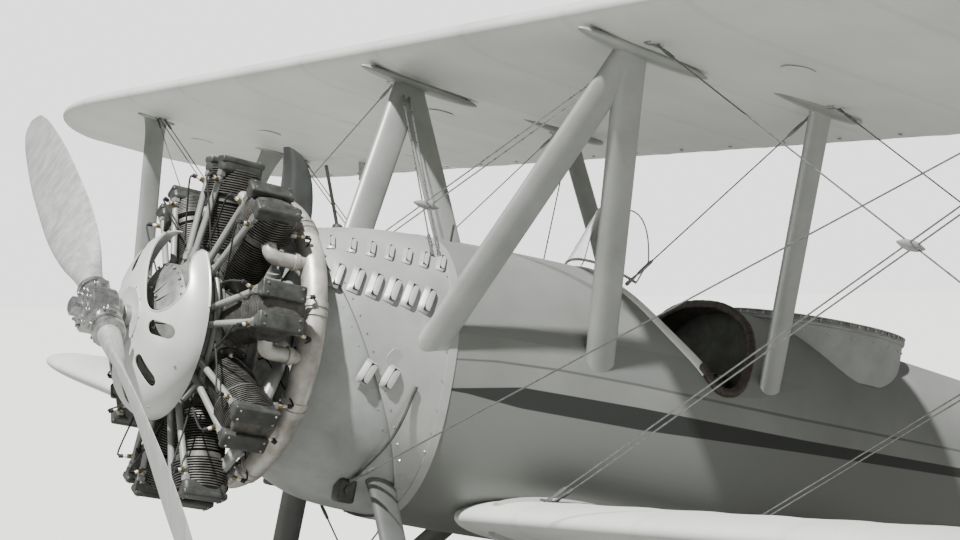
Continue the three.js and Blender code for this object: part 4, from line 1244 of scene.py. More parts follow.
# A dark vent pipe that leans forward on top of the cowl, and a thin sighting post behind it
vent_pipe = together(rod((0, 0.815, 0.462), (0, 0.724, 0.674), 0.0062, 14),
                     turned([(0.020, 0), (0.018, 0.010), (0.008, 0.016)], 20, centre=(0, 0.814, 0.462),
                            axis=(0, 0, 1), near=(1, 0, 0)))
sight_post = rod((0.12, 1.22, 0.485), (0.12, 1.22, 0.560), 0.0045, 12)
piece_of("louvred_cowl_skin", [meshed([(cowl, silver_sheet), (strap, silver_sheet),
                                       (handhole, cone_sheet),
                                       (together(vent_pipe, sight_post), enamel)]),
                               *louvre_meshes, cowl_screws],
         stands_for=("louvred_cowl",))
cone_rivets = copied(rivet_shape(), hoop_rivets(0.618, 40, -0.010) + seam_rivets(-0.022, 0.07, -0.010),
                     cone_sheet)
piece_of("cone_cowl_skin", [meshed([(cone, cone_sheet), (bulkhead, cone_sheet)]), cone_rivets],
         stands_for=("cone_cowl",))


# %% [markdown]
# ## Engine
# Nine air-cooled cylinders stand round a cast aluminium crankcase. One cylinder is drawn upright,
# with its barrel, head, rocker boxes, pushrods, plugs and pipes, and a tree then copies it round
# the thrust line. Its cooling fins are separate thin rings, as cast and turned ones look from
# close by, stacked by the fin tree.

# %% Engine sizes
engine = {"plane": 0.390, "cylinders": 9, "barrel": 0.081, "head": 0.102}
collector = {"y": 0.555, "radius": 0.475, "tube": 0.044, "stub": 0.026, "turn": math.radians(15)}


def at_cylinder(x, y, z):
    """A point by the upright cylinder: across, behind its axis, and out from the thrust line."""
    return Vector((x, engine["plane"] + y, z))


def clock(angle):
    """The direction out from the thrust line; angle zero is up."""
    return Vector((math.sin(angle), 0, math.cos(angle)))


# %% Crankcase
case_profile = [
    (0, 0.068), (0.036, 0.068), (0.042, 0.074), (0.042, 0.150), (0.108, 0.152), (0.120, 0.160),
    (0.150, 0.174), (0.172, 0.184), (0.196, 0.198), (0.2095, 0.212), (0.2095, 0.262), (0.222, 0.272),
    (0.247, 0.280), (0.255, 0.292), (0.255, 0.335), (0.249, 0.340), (0.249, 0.440), (0.255, 0.445),
    (0.255, 0.592), (0.248, 0.5990), (0, 0.5995),
]
crankcase = turned(case_profile, 108)


def webs():
    """Stiffening webs on the nose of the crankcase."""
    found = []
    for i in range(18):
        angle = (i + 0.5) / 18 * math.tau
        out = clock(angle)
        side = out.cross(Vector((0, 1, 0)))
        ring = [(0.110, 0.148), (0.205, 0.204), (0.205, 0.230), (0.110, 0.176)]
        rings = [[out * r + Vector((0, y, 0)) + side * s for r, y in ring] for s in (-0.003, 0.003)]
        found.append(skin(rings))
    return together(*found)


def round_places(radius, y, count, facing, start=0.0):
    found = []
    for i in range(count):
        angle = start + i / count * math.tau
        out = clock(angle)
        found.append((out * radius + Vector((0, y, 0)), facing or out, out if facing else (0, 1, 0)))
    return found


forward = Vector((0, -1, 0))
case_bolts = copied(bolt_shape(9 * mm, 7 * mm), round_places(0.114, 0.152, 12, forward, 0.2)
                    + round_places(0.203, 0.2025, 18, forward), bright_steel)
crankcase_mesh = meshed([(crankcase, cast_aluminium), (webs(), cast_aluminium)])


# %% [markdown]
# The barrel is turned steel with thin fins and the head is cast, with wider ones. Two rocker
# boxes sit on the head and lean forward over the pushrod tubes.

# %% One cylinder
def cylinder_core():
    profile = [
        (0, 0.232), (0.088, 0.232), (0.088, 0.244), (0.070, 0.247), (0.066, 0.285), (0.064, 0.290),
        (0.064, 0.448), (0.086, 0.452), (0.086, 0.470), (0.080, 0.474), (0.078, 0.560), (0.066, 0.585),
        (0.030, 0.592), (0, 0.592),
    ]
    return shifted(turned(profile, 32, axis=(0, 0, 1), near=(1, 0, 0)), 0, engine["plane"], 0)


def rocker_box(side):
    low = at_cylinder(side * 0.052 - 0.027, -0.092, 0.552)
    high = at_cylinder(side * 0.052 + 0.027, 0.066, 0.606)
    body = block(low, high, 0.017, 5)
    lid = block(low + Vector((-0.002, -0.002, 0.034)), high + Vector((0.002, 0.002, 0.004)), 0.008, 3)
    return together(body, lid)


def pushrod_tube(side):
    foot = at_cylinder(side * 0.026, -0.112, 0.236)
    top = at_cylinder(side * 0.056, -0.076, 0.572)
    along = (top - foot).normalized()
    tube = rod(foot, top, 0.0118, 16)
    nuts = [rod(foot + along * a, foot + along * b, 0.0165, 6) for a, b in ((0.0, 0.020), (0.306, 0.324))]
    return tube, together(*nuts, rod(foot - along * 0.002, foot + along * 0.040, 0.0145, 16))


def plug(side, back):
    """A spark plug: hexagon, brass body, pale insulator and its lead's elbow."""
    start = at_cylinder(side * 0.052, back * 0.072, 0.516)
    out = Vector((side * 0.35, back * 1.0, 0.28)).normalized()
    hexagon = rod(start, start + out * 0.020, 0.0125, 6)
    body = rod(start + out * 0.018, start + out * 0.036, 0.0085, 12)
    insulator = rod(start + out * 0.036, start + out * 0.052, 0.0062, 12, 0.0045)
    elbow = rod(start + out * 0.050, start + out * 0.066, 0.0075, 12)
    return hexagon, body, insulator, elbow, start + out * 0.062, out


def exhaust_elbow():
    angle, radius = collector["turn"], collector["radius"]
    x, z = radius * math.sin(angle), radius * math.cos(angle)
    points = [(0.060, 0.390, 0.486), (0.092, 0.391, 0.474), (0.114, 0.398, 0.464), (x, 0.420, z),
              (x, 0.480, z), (x, 0.552, z)]
    band = rod((x, 0.478, z), (x, 0.494, z), 0.0315, 24)
    return pipe(curve_through(points, 5), collector["stub"], 24), band


def intake_pipe():
    points = [(-0.085, 0.545, 0.240), (-0.100, 0.530, 0.300), (-0.112, 0.500, 0.380),
              (-0.106, 0.462, 0.450), (-0.075, 0.440, 0.492), (-0.040, 0.432, 0.500)]
    flange = rod((-0.083, 0.547, 0.232), (-0.088, 0.544, 0.256), 0.034, 20)
    return pipe(curve_through(points, 5), 0.0215, 20), flange


def cylinder_mesh():
    tubes = [pushrod_tube(side) for side in (-1, 1)]
    plugs = [plug(side, back) for side, back in ((-1, -1), (1, -1), (-1, 1), (1, 1))]
    leads = []
    for _, _, _, _, tip, out in plugs:
        goal = Vector((tip.x * 1.6, 0.470 if out.y > 0 else 0.300, 0.272))
        bend = tip + out * 0.010 + Vector((0, 0, -0.020))
        middle = (tip + goal) / 2 + Vector((0.006 * math.copysign(1, tip.x), 0.006 * out.y, 0))
        leads.append(pipe(curve_through([tip, bend, middle, goal], 5), 0.0034, 8))
    elbow, bands = exhaust_elbow()
    intake, flange = intake_pipe()
    nuts = copied(bolt_shape(8 * mm, 8 * mm), [
        (at_cylinder(0.079 * math.sin(a), 0.079 * math.cos(a), 0.244), (0, 0, 1), (1, 0, 0))
        for a in turns(12)], bright_steel)
    caps = copied(bolt_shape(7 * mm, 6 * mm), [
        (at_cylinder(side * 0.052 + dx, dy, 0.610), (0, 0, 1), (1, 0, 0), 0.8)
        for side in (-1, 1) for dx in (-0.016, 0.016) for dy in (-0.076, 0.050)], bright_steel)
    solid = meshed([
        (cylinder_core(), oily_iron),
        (together(rocker_box(-1), rocker_box(1)), enamel),
        (together(*[tube for tube, _ in tubes]), strut_paint),
        (together(*[nut for _, nut in tubes]), cast_aluminium),
        (together(*[p[0] for p in plugs]), bright_steel),
        (together(*[p[1] for p in plugs]), brass),
        (together(*[p[2] for p in plugs]), dial_white),
        (together(*[p[3] for p in plugs], *leads), rubber),
        (together(elbow, bands), exhaust_steel),
        (together(intake, flange), strut_paint),
    ])
    return joined("cylinder", [solid, nuts, caps])


def fins(first, count, step, radius, taper, thickness, sides):
    base = bpy.data.meshes.new("none")
    made = grow(fin_stack, base, Count=count, First=first, Pitch=step, Radius=radius, Taper=taper,
                Thickness=thickness, Sides=sides, Finish=oily_iron)
    made.transform(Matrix.Translation((0, engine["plane"], 0)))
    return made


one_cylinder = joined("one cylinder", [
    cylinder_mesh(), fins(0.292, 17, 0.0092, engine["barrel"], 1.0, 0.0030, 28),
    fins(0.482, 11, 0.0086, engine["head"], 0.86, 0.0034, 28),
])
all_cylinders = grow(round_copies, one_cylinder, Count=engine["cylinders"])
print("engine cylinder faces", len(one_cylinder.polygons), "all", len(all_cylinders.polygons))

# %% Engine piece
harness = together(*[pipe([Vector((r * math.sin(a), y, r * math.cos(a)))
                           for a in turns(72, 1)], 0.0085, 10)
                     for r, y in ((0.272, 0.300), (0.274, 0.470))])
piece_of("engine_cylinders", [all_cylinders], stands_for=("engine",), crease=35)
piece_of("engine_crankcase", [crankcase_mesh, case_bolts, meshed([(harness, strut_paint)])],
         crease=30)

# %% [markdown]
# A spun aluminium dome covers the front of the crankcase. Seven slots let air through between
# the cylinders, and one large notch at the upper port side is open out to the rim. Booleans cut
# them along the thrust line. A wire rolled into the rim stiffens it.

# %% Crankcase dome
dome = {"rim": 0.330, "rim_y": 0.240, "nose": 0.096, "depth": 0.152, "power": 2.2, "wall": 0.003}
slot_cut = {"inner": 0.172, "outer": 0.288, "half": 0.024, "first": -7, "step": -40, "count": 7}
notch = {"x": 0.194, "z": 0.113, "half": 0.084, "lean": math.radians(31), "length": 0.330}


def dome_y(radius):
    power = dome["power"]
    return dome["rim_y"] - dome["depth"] * (1 - (radius / dome["rim"]) ** power) ** (1 / power)


def dome_shell():
    count = 26
    radii = [dome["nose"] + (dome["rim"] - dome["nose"]) * math.sin(i / count * math.pi / 2)
             for i in range(count + 1)]
    outside = [(r, dome_y(r)) for r in radii]
    rim = [(dome["rim"], dome["rim_y"] + 0.006), (dome["rim"] - dome["wall"], dome["rim_y"] + 0.006)]
    inside = [(r - dome["wall"], y + dome["wall"]) for r, y in reversed(outside[:-1])]
    rings = []
    for radius, y in outside + rim + inside:
        rings.append([Vector((radius * math.cos(a), y, radius * math.sin(a)))
                      for a in turns(144)])
    return skin(rings, caps=False, loop=True)


def round_ended(half, length, steps=14):
    """Outline in X and Z of a slot whose first round end is centred on zero."""
    low = [(half * math.cos(a), half * math.sin(a))
           for a in [math.pi + math.pi * i / steps for i in range(steps + 1)]]
    high = [(half * math.cos(a), length + half * math.sin(a))
            for a in [math.pi * i / steps for i in range(steps + 1)]]
    return low + high


def through_dome(outline, turn, shift):
    """A cutter along the thrust line from an outline that is turned and then shifted."""
    cos, sin = math.cos(turn), math.sin(turn)
    flat = [(x * cos + z * sin + shift[0], z * cos - x * sin + shift[1]) for x, z in outline]
    return skin([[Vector((x, y, z)) for x, z in flat] for y in (0.03, 0.30)])


def dome_cutters():
    inner, outer, half = slot_cut["inner"], slot_cut["outer"], slot_cut["half"]
    outline = [(x, z + inner + half) for x, z in round_ended(half, outer - inner - 2 * half)]
    found = []
    for i in range(slot_cut["count"]):
        angle = math.radians(slot_cut["first"] + i * slot_cut["step"])
        found.append(through_dome(outline, math.pi / 2 - angle, (0, 0)))
    found.append(through_dome(round_ended(notch["half"], notch["length"], 24), -notch["lean"],
                              (notch["x"], notch["z"])))
    return found


dome_mesh = cut_out(meshed([(dome_shell(), dome_sheet)], 30), dome_cutters())


def dome_point(x, z, lift=0.0):
    return Vector((x, dome_y(min(math.hypot(x, z), dome["rim"] - 0.0005)) - lift, z))


def notch_lip():
    """A thin bead round the notch, on the dome's surface."""
    cos, sin = math.cos(-notch["lean"]), math.sin(-notch["lean"])
    half = notch["half"] + 0.001
    points = []
    for i in range(61):
        t = -1 + 2 * i / 60
        if abs(t) > 0.45:
            x, z = math.copysign(half, t), (abs(t) - 0.45) / 0.55 * notch["length"]
        else:
            a = math.pi * 1.5 + t / 0.45 * math.pi / 2
            x, z = half * math.cos(a), half * math.sin(a)
        px, pz = x * cos + z * sin + notch["x"], z * cos - x * sin + notch["z"]
        if math.hypot(px, pz) < dome["rim"] - 0.002:
            points.append(dome_point(px, pz))
    return pipe(points, 0.0028, 8)


rim_angles = turns(144)


def in_notch(angle):
    x, z = dome["rim"] * math.cos(angle) - notch["x"], dome["rim"] * math.sin(angle) - notch["z"]
    cos, sin = math.cos(notch["lean"]), math.sin(notch["lean"])
    return z * cos - x * sin > -0.2 and abs(x * cos + z * sin) < notch["half"] and x > -0.3


def rim_bead():
    start = next(i for i, a in enumerate(rim_angles) if in_notch(a) and not in_notch(a + math.tau / 144))
    found = []
    for i in range(1, 145):
        angle = rim_angles[(start + i) % 144]
        if in_notch(angle):
            break
        found.append(Vector((math.cos(angle) * dome["rim"], dome["rim_y"] + 0.004,
                             math.sin(angle) * dome["rim"])))
    return pipe(found, 0.0045, 10)


dome_screws = copied(rivet_shape(5 * mm, 2.4 * mm), [
    (dome_point(0.312 * math.cos(a), 0.312 * math.sin(a)), (math.cos(a) * 0.8, -0.6, math.sin(a) * 0.8),
     (0, 1, 0))
    for a in [math.radians(-27 - 40 * i) for i in range(8)]] + [
    (dome_point(0.106 * math.cos(a), 0.106 * math.sin(a)), (0, -1, 0), (1, 0, 0))
    for a in turns(10)], bright_steel)
nose_ring = turned([(0.088, 0.094), (0.104, 0.0895), (0.104, 0.094), (0.088, 0.100)], 96)
piece_of("crankcase_dome", [dome_mesh, meshed([(rim_bead(), dome_sheet), (notch_lip(), dome_sheet),
                                               (nose_ring, dome_sheet)]), dome_screws],
         stands_for=("crankcase_cowl",), crease=28)

# %% [markdown]
# Behind the cylinders a ring of sheet steel gathers the exhaust. Slip joints with clamp bands
# join its nine lengths, because the pipes grow when they are hot.

# %% Exhaust collector
def collector_shape():
    rings = []
    for i in range(144):
        angle = i / 144 * math.tau
        swell = 1.0 + 0.022 * math.cos(9 * (angle - collector["turn"]))
        centre = clock(angle)
        rings.append([Vector((0, collector["y"], 0)) + centre * (collector["radius"]
                      + collector["tube"] * swell * math.cos(a))
                      + Vector((0, collector["tube"] * swell * math.sin(a), 0))
                      for a in turns(24)])
    return skin(rings, caps=False, loop=True)


def collector_bands():
    found = []
    for i in range(engine["cylinders"]):
        middle = (i + 0.5) / engine["cylinders"] * math.tau + collector["turn"]
        for shift in (-0.030, 0.030):
            rings = []
            for width, grow in ((-0.011, 0.0), (-0.010, 0.0035), (0.010, 0.0035), (0.011, 0.0)):
                angle = middle + shift + width / collector["radius"]
                out = clock(angle)
                size = collector["tube"] + grow
                rings.append([Vector((0, collector["y"], 0))
                              + out * (collector["radius"] + size * math.cos(a))
                              + Vector((0, size * math.sin(a), 0)) for a in
                              turns(24)])
            found.append(skin(rings))
    return together(*found)


band_bolts = copied(bolt_shape(8 * mm, 9 * mm), [
    (Vector((math.sin(a) * 0.475, 0.509, math.cos(a) * 0.475)), (0, -1, 0), (1, 0, 0))
    for a in [(i + 0.5) / 9 * math.tau + collector["turn"] + s
              for i in range(9) for s in (-0.030, 0.030)]], bright_steel)
piece_of("exhaust_ring", [meshed([(collector_shape(), exhaust_steel), (collector_bands(), exhaust_steel)]),
                          band_bolts], stands_for=("exhaust_collector",))

# %% Air scoop
# Height, front, rear and half width of the upright scoop's sections
scoop_rows = [(0.350, 0.598, 0.700, 0.044), (0.540, 0.588, 0.686, 0.044), (0.640, 0.572, 0.652, 0.040),
              (0.692, 0.554, 0.616, 0.034)]


def scoop_ring(z, shrink=0.0):
    _, front, rear, half = eased(scoop_rows, z)
    middle, deep = (front + rear) / 2, (rear - front) / 2 - shrink
    points = []
    for i in range(40):
        angle = (i + 0.5) / 40 * math.tau
        x = (half - shrink) * math.copysign(abs(math.cos(angle)) ** 0.5, math.cos(angle))
        y = middle + deep * math.copysign(abs(math.sin(angle)) ** 0.5, math.sin(angle))
        points.append(Vector((x, y, z + (middle - y) * 0.35 * max((z - 0.6) / 0.09, 0))))
    return points


scoop_heights = long_stations(0.352, 0.690, 0.012)
scoop = skin([scoop_ring(z) for z in scoop_heights]
             + [scoop_ring(0.690, 0.004), scoop_ring(0.676, 0.006), scoop_ring(0.60, 0.008)])
scoop_flange = block((-0.058, 0.600, 0.355), (0.058, 0.702, 0.362), 0.003)
piece("air_scoop_pipe", [(scoop, scoop_sheet), (scoop_flange, scoop_sheet)],
      stands_for=("air_scoop",))

# %% [markdown]
# The propeller is a forged aluminium blade pair clamped in a steel hub. A blade is a row of
# sections along its length: each has a width, a thickness and a pitch angle that gets flatter
# towards the tip, and a shape with a round nose and a thin rear edge.

# %% Propeller
propeller_turn = math.radians(122)
# Distance from the hub, width, thickness, pitch in degrees, and how square the section is
blade_rows = [
    (0.040, 0.084, 0.076, 58, 0), (0.150, 0.084, 0.072, 54, 0), (0.230, 0.104, 0.058, 48, 0.4),
    (0.330, 0.150, 0.038, 41, 1), (0.560, 0.205, 0.024, 31, 1), (0.860, 0.212, 0.017, 24, 1),
    (1.150, 0.178, 0.011, 19, 1), (1.300, 0.128, 0.008, 17, 1), (1.352, 0.080, 0.006, 16, 1),
    (1.370, 0.022, 0.004, 16, 1),
]


def blade_ring(distance):
    _, width, thick, angle, flat = eased(blade_rows, distance)
    cos, sin = math.cos(math.radians(angle)), math.sin(math.radians(angle))
    ring = []
    for i in range(36):
        a = (i + 0.5) / 36 * math.tau
        across = math.cos(a) * width / 2
        through = math.sin(a) * thick / 2 * (1 - 0.35 * flat * math.cos(a))
        through *= 1.15 if math.sin(a) < 0 else 1 - 0.35 * flat
        ring.append(Vector((across * cos - through * sin, across * sin + through * cos, distance)))
    return ring


blade_places = long_stations(0.040, 1.300, 0.028) + [1.315, 1.33, 1.342, 1.352, 1.360, 1.366, 1.370]
blade = skin([blade_ring(d) for d in blade_places])
opposite = moved(blade, Matrix.Rotation(math.pi, 4, "Y"))
hub_profile = [
    (0, -0.112), (0.024, -0.112), (0.033, -0.106), (0.034, -0.084), (0.043, -0.080), (0.045, -0.072),
    (0.070, -0.066), (0.0815, -0.058), (0.0815, 0.030), (0.074, 0.036), (0.058, 0.040), (0.058, 0.056),
    (0, 0.056),
]
hub_body = turned(hub_profile, 64)
clamps = together(*[turned([(0.050, 0.060), (0.058, 0.062), (0.058, 0.098), (0.050, 0.100)], 40,
                           axis=(0, 0, s), near=(1, 0, 0)) for s in (-1, 1)],
                  *[turned([(0.053, 0.118), (0.057, 0.120), (0.057, 0.134), (0.053, 0.136)], 40,
                           axis=(0, 0, s), near=(1, 0, 0)) for s in (-1, 1)])
clamp_lugs = together(*[block((side * 0.060 - 0.014, -0.020, z - 0.012),
                              (side * 0.060 + 0.014, 0.020, z + 0.012), 0.004)
                        for side in (-1, 1) for z in (-0.080, 0.080)])
hub_bolts = copied(bolt_shape(12 * mm, 12 * mm), [
    (Vector((0.062 * math.sin(a), -0.066, 0.062 * math.cos(a))), forward, (1, 0, 0))
    for a in [i / 8 * math.tau + 0.3 for i in range(8)]] + [
    (Vector((side * 0.060, -0.020, z)), forward, (1, 0, 0)) for side in (-1, 1) for z in (-0.08, 0.08)],
    bright_steel)
turn_blades = Matrix.Rotation(propeller_turn, 4, "Y")
hub_bolts.transform(turn_blades)
piece_of("propeller_blades", [
    meshed([(moved(together(blade, opposite), turn_blades), forged_alloy),
            (moved(together(hub_body, clamps, clamp_lugs), turn_blades), bright_steel)], 35), hub_bolts],
    body="propeller", stands_for=("propeller",))


# %% [markdown]
# ## Wings
# Both wings use one aerofoil and one rule for their rounded tips, so they are drawn by a function
# of the place across the span. Fabric is glued to the ribs and sinks a few millimetres between
# them; the rib tree makes that from closely spaced stations. Tapes over the ribs are in the
# finish, because they are thinner than a millimetre.

# %% Ribbed fabric finish
rib_spacing = 0.34


def taped(name, axis, spacing, start=0.0):
    """Doped fabric with a 40 mm tape over each rib, raised by its own thickness."""
    # This dope is drawn much lighter than the fuselage's same dope, as painted light on the undersides, which
    # the ground and the sun through the fabric brighten.
    made, tree, shader, ramp = doped(name, "#d6d7d3", "#c8cac6")
    parts = add(tree, "ShaderNodeSeparateXYZ", {"Vector": flight(tree).outputs[0]})
    moved_by = add(tree, "ShaderNodeMath", {0: parts.outputs[axis], 1: start}, operation="ADD")
    half_way = add(tree, "ShaderNodeMath", {0: moved_by.outputs[0], 1: spacing}, operation="PINGPONG")
    near_rib = add(tree, "ShaderNodeMapRange", {
        "Value": half_way.outputs[0], "From Min": 0.023, "From Max": 0.020,
    })
    threads = weave(tree, flight(tree))
    both_heights = add(tree, "ShaderNodeMath", {0: near_rib.outputs[0], 1: 0.8, 2: threads.outputs[0]},
                       operation="MULTIPLY_ADD")
    emboss(tree, shader, both_heights, 0.4, 0.5)
    lighter = add(tree, "ShaderNodeMix", data_type="RGBA", blend_type="MULTIPLY")
    lighter.inputs[7].default_value = linear("#f8f8f7")
    tree.links.new(near_rib.outputs[0], lighter.inputs[0])
    tree.links.new(ramp.outputs[0], lighter.inputs[6])
    tree.links.new(lighter.outputs[2], shader.inputs["Base Color"])
    return made


wing_fabric = taped("Silver doped wing fabric", "X", rib_spacing)
upright_fabric = taped("Silver doped fin fabric", "Z", 0.24)

# %% Aerofoil and stations
upper_wing = {"lead": 1.171, "trail": 2.695, "lead_z": 1.293, "trail_z": 1.206, "span": 5.250,
              "tip": 3.850, "sweep": 0.620, "dihedral": 0.0, "datum": 0.0}
lower_wing = {"lead": 1.329, "trail": 2.749, "lead_z": -0.470, "trail_z": -0.530, "span": 5.080,
              "tip": 3.800, "sweep": 0.560, "dihedral": math.radians(4.5), "datum": 0.420}
thickness, camber, camber_place = 0.12, 0.025, 0.4


def aerofoil(s, side):
    """Height over the chord line, in chords, at a share of the chord; side is 1 above, -1 below."""
    half = 5 * thickness * (0.2969 * math.sqrt(s) - 0.126 * s - 0.3516 * s ** 2 + 0.2843 * s ** 3
                            - 0.1015 * s ** 4)
    if s < camber_place:
        line = camber / camber_place ** 2 * (2 * camber_place * s - s ** 2)
    else:
        line = camber / (1 - camber_place) ** 2 * (1 - 2 * camber_place + 2 * camber_place * s - s ** 2)
    return line + side * half


def wing_chord(wing, x):
    """Leading and trailing edge and the leading edge's height, at a place across."""
    full = wing["trail"] - wing["lead"]
    u = max(abs(x) - wing["tip"], 0) / (wing["span"] - wing["tip"])
    bend = min(1 - math.sqrt(max(1 - u ** 2.4, 0)), 0.955)
    lead = wing["lead"] + wing["sweep"] * bend
    trail = wing["trail"] - (full - wing["sweep"]) * bend
    slope = (wing["lead_z"] - wing["trail_z"]) / full
    rise = (abs(x) - wing["datum"]) * math.tan(wing["dihedral"])
    return lead, trail, wing["lead_z"] + rise - (lead - wing["lead"]) * slope, slope


def wing_point(wing, x, s, side):
    lead, trail, lead_z, slope = wing_chord(wing, x)
    chord = trail - lead
    return Vector((x, lead + s * chord, lead_z - s * chord * slope + aerofoil(s, side) * chord))


def wing_hoop(wing, x, steps=26):
    shares = [1 - math.cos(i / steps * math.pi / 2) for i in range(steps + 1)]
    return ([wing_point(wing, x, s, 1) for s in reversed(shares)]
            + [wing_point(wing, x, s, -1) for s in shares[1:]])


def span_places(wing, first):
    straight = long_stations(first, wing["tip"], rib_spacing / 8)
    tip = [wing["tip"] + (wing["span"] - wing["tip"]) * u
           for u in (0.04, 0.08, 0.14, 0.2, 0.27, 0.34, 0.41, 0.48, 0.55, 0.61, 0.67, 0.72, 0.77, 0.81,
                     0.85, 0.88, 0.91, 0.935, 0.955, 0.972, 0.985, 0.994, 1.0)]
    return straight + tip


def set_shares(mesh, lead_and_trail):
    layer = mesh.attributes.new("share", "FLOAT", "POINT")
    values = []
    for vertex in mesh.vertices:
        lead, trail = lead_and_trail(vertex.co)
        values.append((vertex.co.y - lead) / (trail - lead))
    layer.data.foreach_set("value", values)
    return mesh


def with_ribs(mesh, lead_and_trail, sag, finish_of, spacing=rib_spacing, across=(1, 0, 0), nose=0.1):
    return grow(ribbed, set_shares(mesh, lead_and_trail), Sag=sag, Finish=finish_of,
                Rib_spacing=spacing, Across=across, Stiff_nose=nose)


# %% Upper wing and ailerons
aileron = {"inner": 2.500, "outer": 4.420, "hinge": 2.375, "nose": 0.034, "gap": 0.008}


def aileron_hinge_z():
    s = (aileron["hinge"] - upper_wing["lead"]) / (upper_wing["trail"] - upper_wing["lead"])
    lead, trail, lead_z, slope = wing_chord(upper_wing, 3.0)
    return lead_z + (trail - lead) * ((aerofoil(s, 1) + aerofoil(s, -1)) / 2 - s * slope)


def upper_chord(point):
    return wing_chord(upper_wing, point.x)[:2]


port_places = span_places(upper_wing, 0.0)
upper_blank = skin([wing_hoop(upper_wing, -x) for x in reversed(port_places)]
                   + [wing_hoop(upper_wing, x) for x in port_places[1:]])
bay_front = aileron["hinge"] - aileron["nose"] - aileron["gap"]
bay = block((aileron["inner"] - aileron["gap"], bay_front, 1.0),
            (aileron["outer"] + aileron["gap"], 3.0, 1.6), 0)
upper_skin = with_ribs(cut_out(meshed([(upper_blank, wing_fabric)], 40), [bay, mirrored(bay)]),
                       upper_chord, 0.0045, wing_fabric)


def aileron_hoop(x):
    lead, trail, _, _ = wing_chord(upper_wing, x)
    first = (aileron["hinge"] - lead) / (trail - lead)
    shares = [1 - (1 - first) * i / 10 for i in range(11)]
    over = [wing_point(upper_wing, x, s, 1) for s in shares]
    under = [wing_point(upper_wing, x, s, -1) for s in reversed(shares)]
    middle = (over[-1] + under[0]) / 2
    nose = [middle + Vector((0, -aileron["nose"] * math.cos(a), (over[-1].z - middle.z) * math.sin(a)))
            for a in [math.pi / 2 - math.pi * i / 12 for i in range(1, 12)]]
    return over + nose + under


aileron_places = long_stations(aileron["inner"], aileron["outer"], rib_spacing / 8)
aileron_skin = with_ribs(meshed([(skin([aileron_hoop(x) for x in aileron_places]), wing_fabric)], 40),
                         lambda p: (aileron["hinge"] - 0.1, 2.7), 0.003, wing_fabric)
hinge_z = aileron_hinge_z()


def horn(base, up, high, thick=0.006):
    """A flat control horn standing on a surface, with a bolted foot."""
    outline = [(-0.030, 0), (0.034, 0), (0.012, high * 0.7), (0.008, high), (-0.008, high),
               (-0.014, high * 0.7)]
    return plate(outline, thick, basis(base, Vector((0, 1, 0)), Vector(up), Vector((1, 0, 0))), 0.001)


horn_x = 3.1
aileron_horns = together(*[horn(wing_point(upper_wing, horn_x, 0.84, side), (0, 0, side), 0.10)
                           for side in (1, -1)])
aileron_brackets = together(*[block((x - 0.012, aileron["hinge"] - 0.048, hinge_z - 0.012),
                                    (x + 0.012, aileron["hinge"] - 0.030, hinge_z + 0.012), 0.003)
                              for x in (2.62, 3.46, 4.30)])
pair_of("aileron_skin", [aileron_skin, meshed([(aileron_horns, bright_steel)])], bodies="aileron",
        stands_for=("aileron",))

# %% [markdown]
# Small fittings on the upper wing: a fuel filler with its cap, drain eyelets under the trailing
# edge, inspection discs under the spars, and streamlined pads over the struts' ends.

# %% Wing fittings
def on_wing(wing, x, s, side, grow=0.0):
    point = wing_point(wing, x, s, side)
    back = wing_point(wing, x, s + 0.01, side) - wing_point(wing, x, s - 0.01, side)
    across = wing_point(wing, x + 0.01, s, side) - wing_point(wing, x - 0.01, s, side)
    normal = across.cross(back).normalized() * side
    normal = normal if normal.z * side > 0 else -normal
    return point + normal * grow, normal


eyelet = turned([(0.009, -0.001), (0.009, 0.0015), (0.004, 0.0025), (0.003, 0.0005)], 14,
                axis=(0, 0, 1), near=(1, 0, 0))
disc = turned([(0.060, -0.001), (0.060, 0.0004), (0.057, 0.0012), (0, 0.0013)], 32, axis=(0, 0, 1),
              near=(1, 0, 0))


def fittings(wing, first, shape, share, spacing, side, finish_of):
    rows = []
    for x in long_stations(first, wing["tip"], spacing):
        for sign in (1, -1):
            point, normal = on_wing(wing, x * sign, share, side)
            rows.append((point, normal, (0, 1, 0)))
    return copied(shape, rows, finish_of)


filler = turned([(0.062, -0.02), (0.062, 0.006), (0.050, 0.010), (0.040, 0.012), (0.040, 0.026),
                 (0.034, 0.031), (0, 0.032)], 40, axis=(0, 0, 1), near=(1, 0, 0))
filler_place, _ = on_wing(upper_wing, 0.0, 0.3, 1)
filler_cap = shifted(filler, *filler_place)
piece_of("upper_wing_skin", [
    upper_skin, fittings(upper_wing, 0.17, eyelet, 0.965, rib_spacing, -1, strut_paint),
    fittings(upper_wing, 1.2, disc, 0.42, 1.02, -1, wing_fabric),
    meshed([(together(aileron_brackets, mirrored(aileron_brackets)), bright_steel),
            (filler_cap, brass)]),
], stands_for=("upper_wing",))

# %% Lower wings
def lower_chord(point):
    return wing_chord(lower_wing, point.x)[:2]


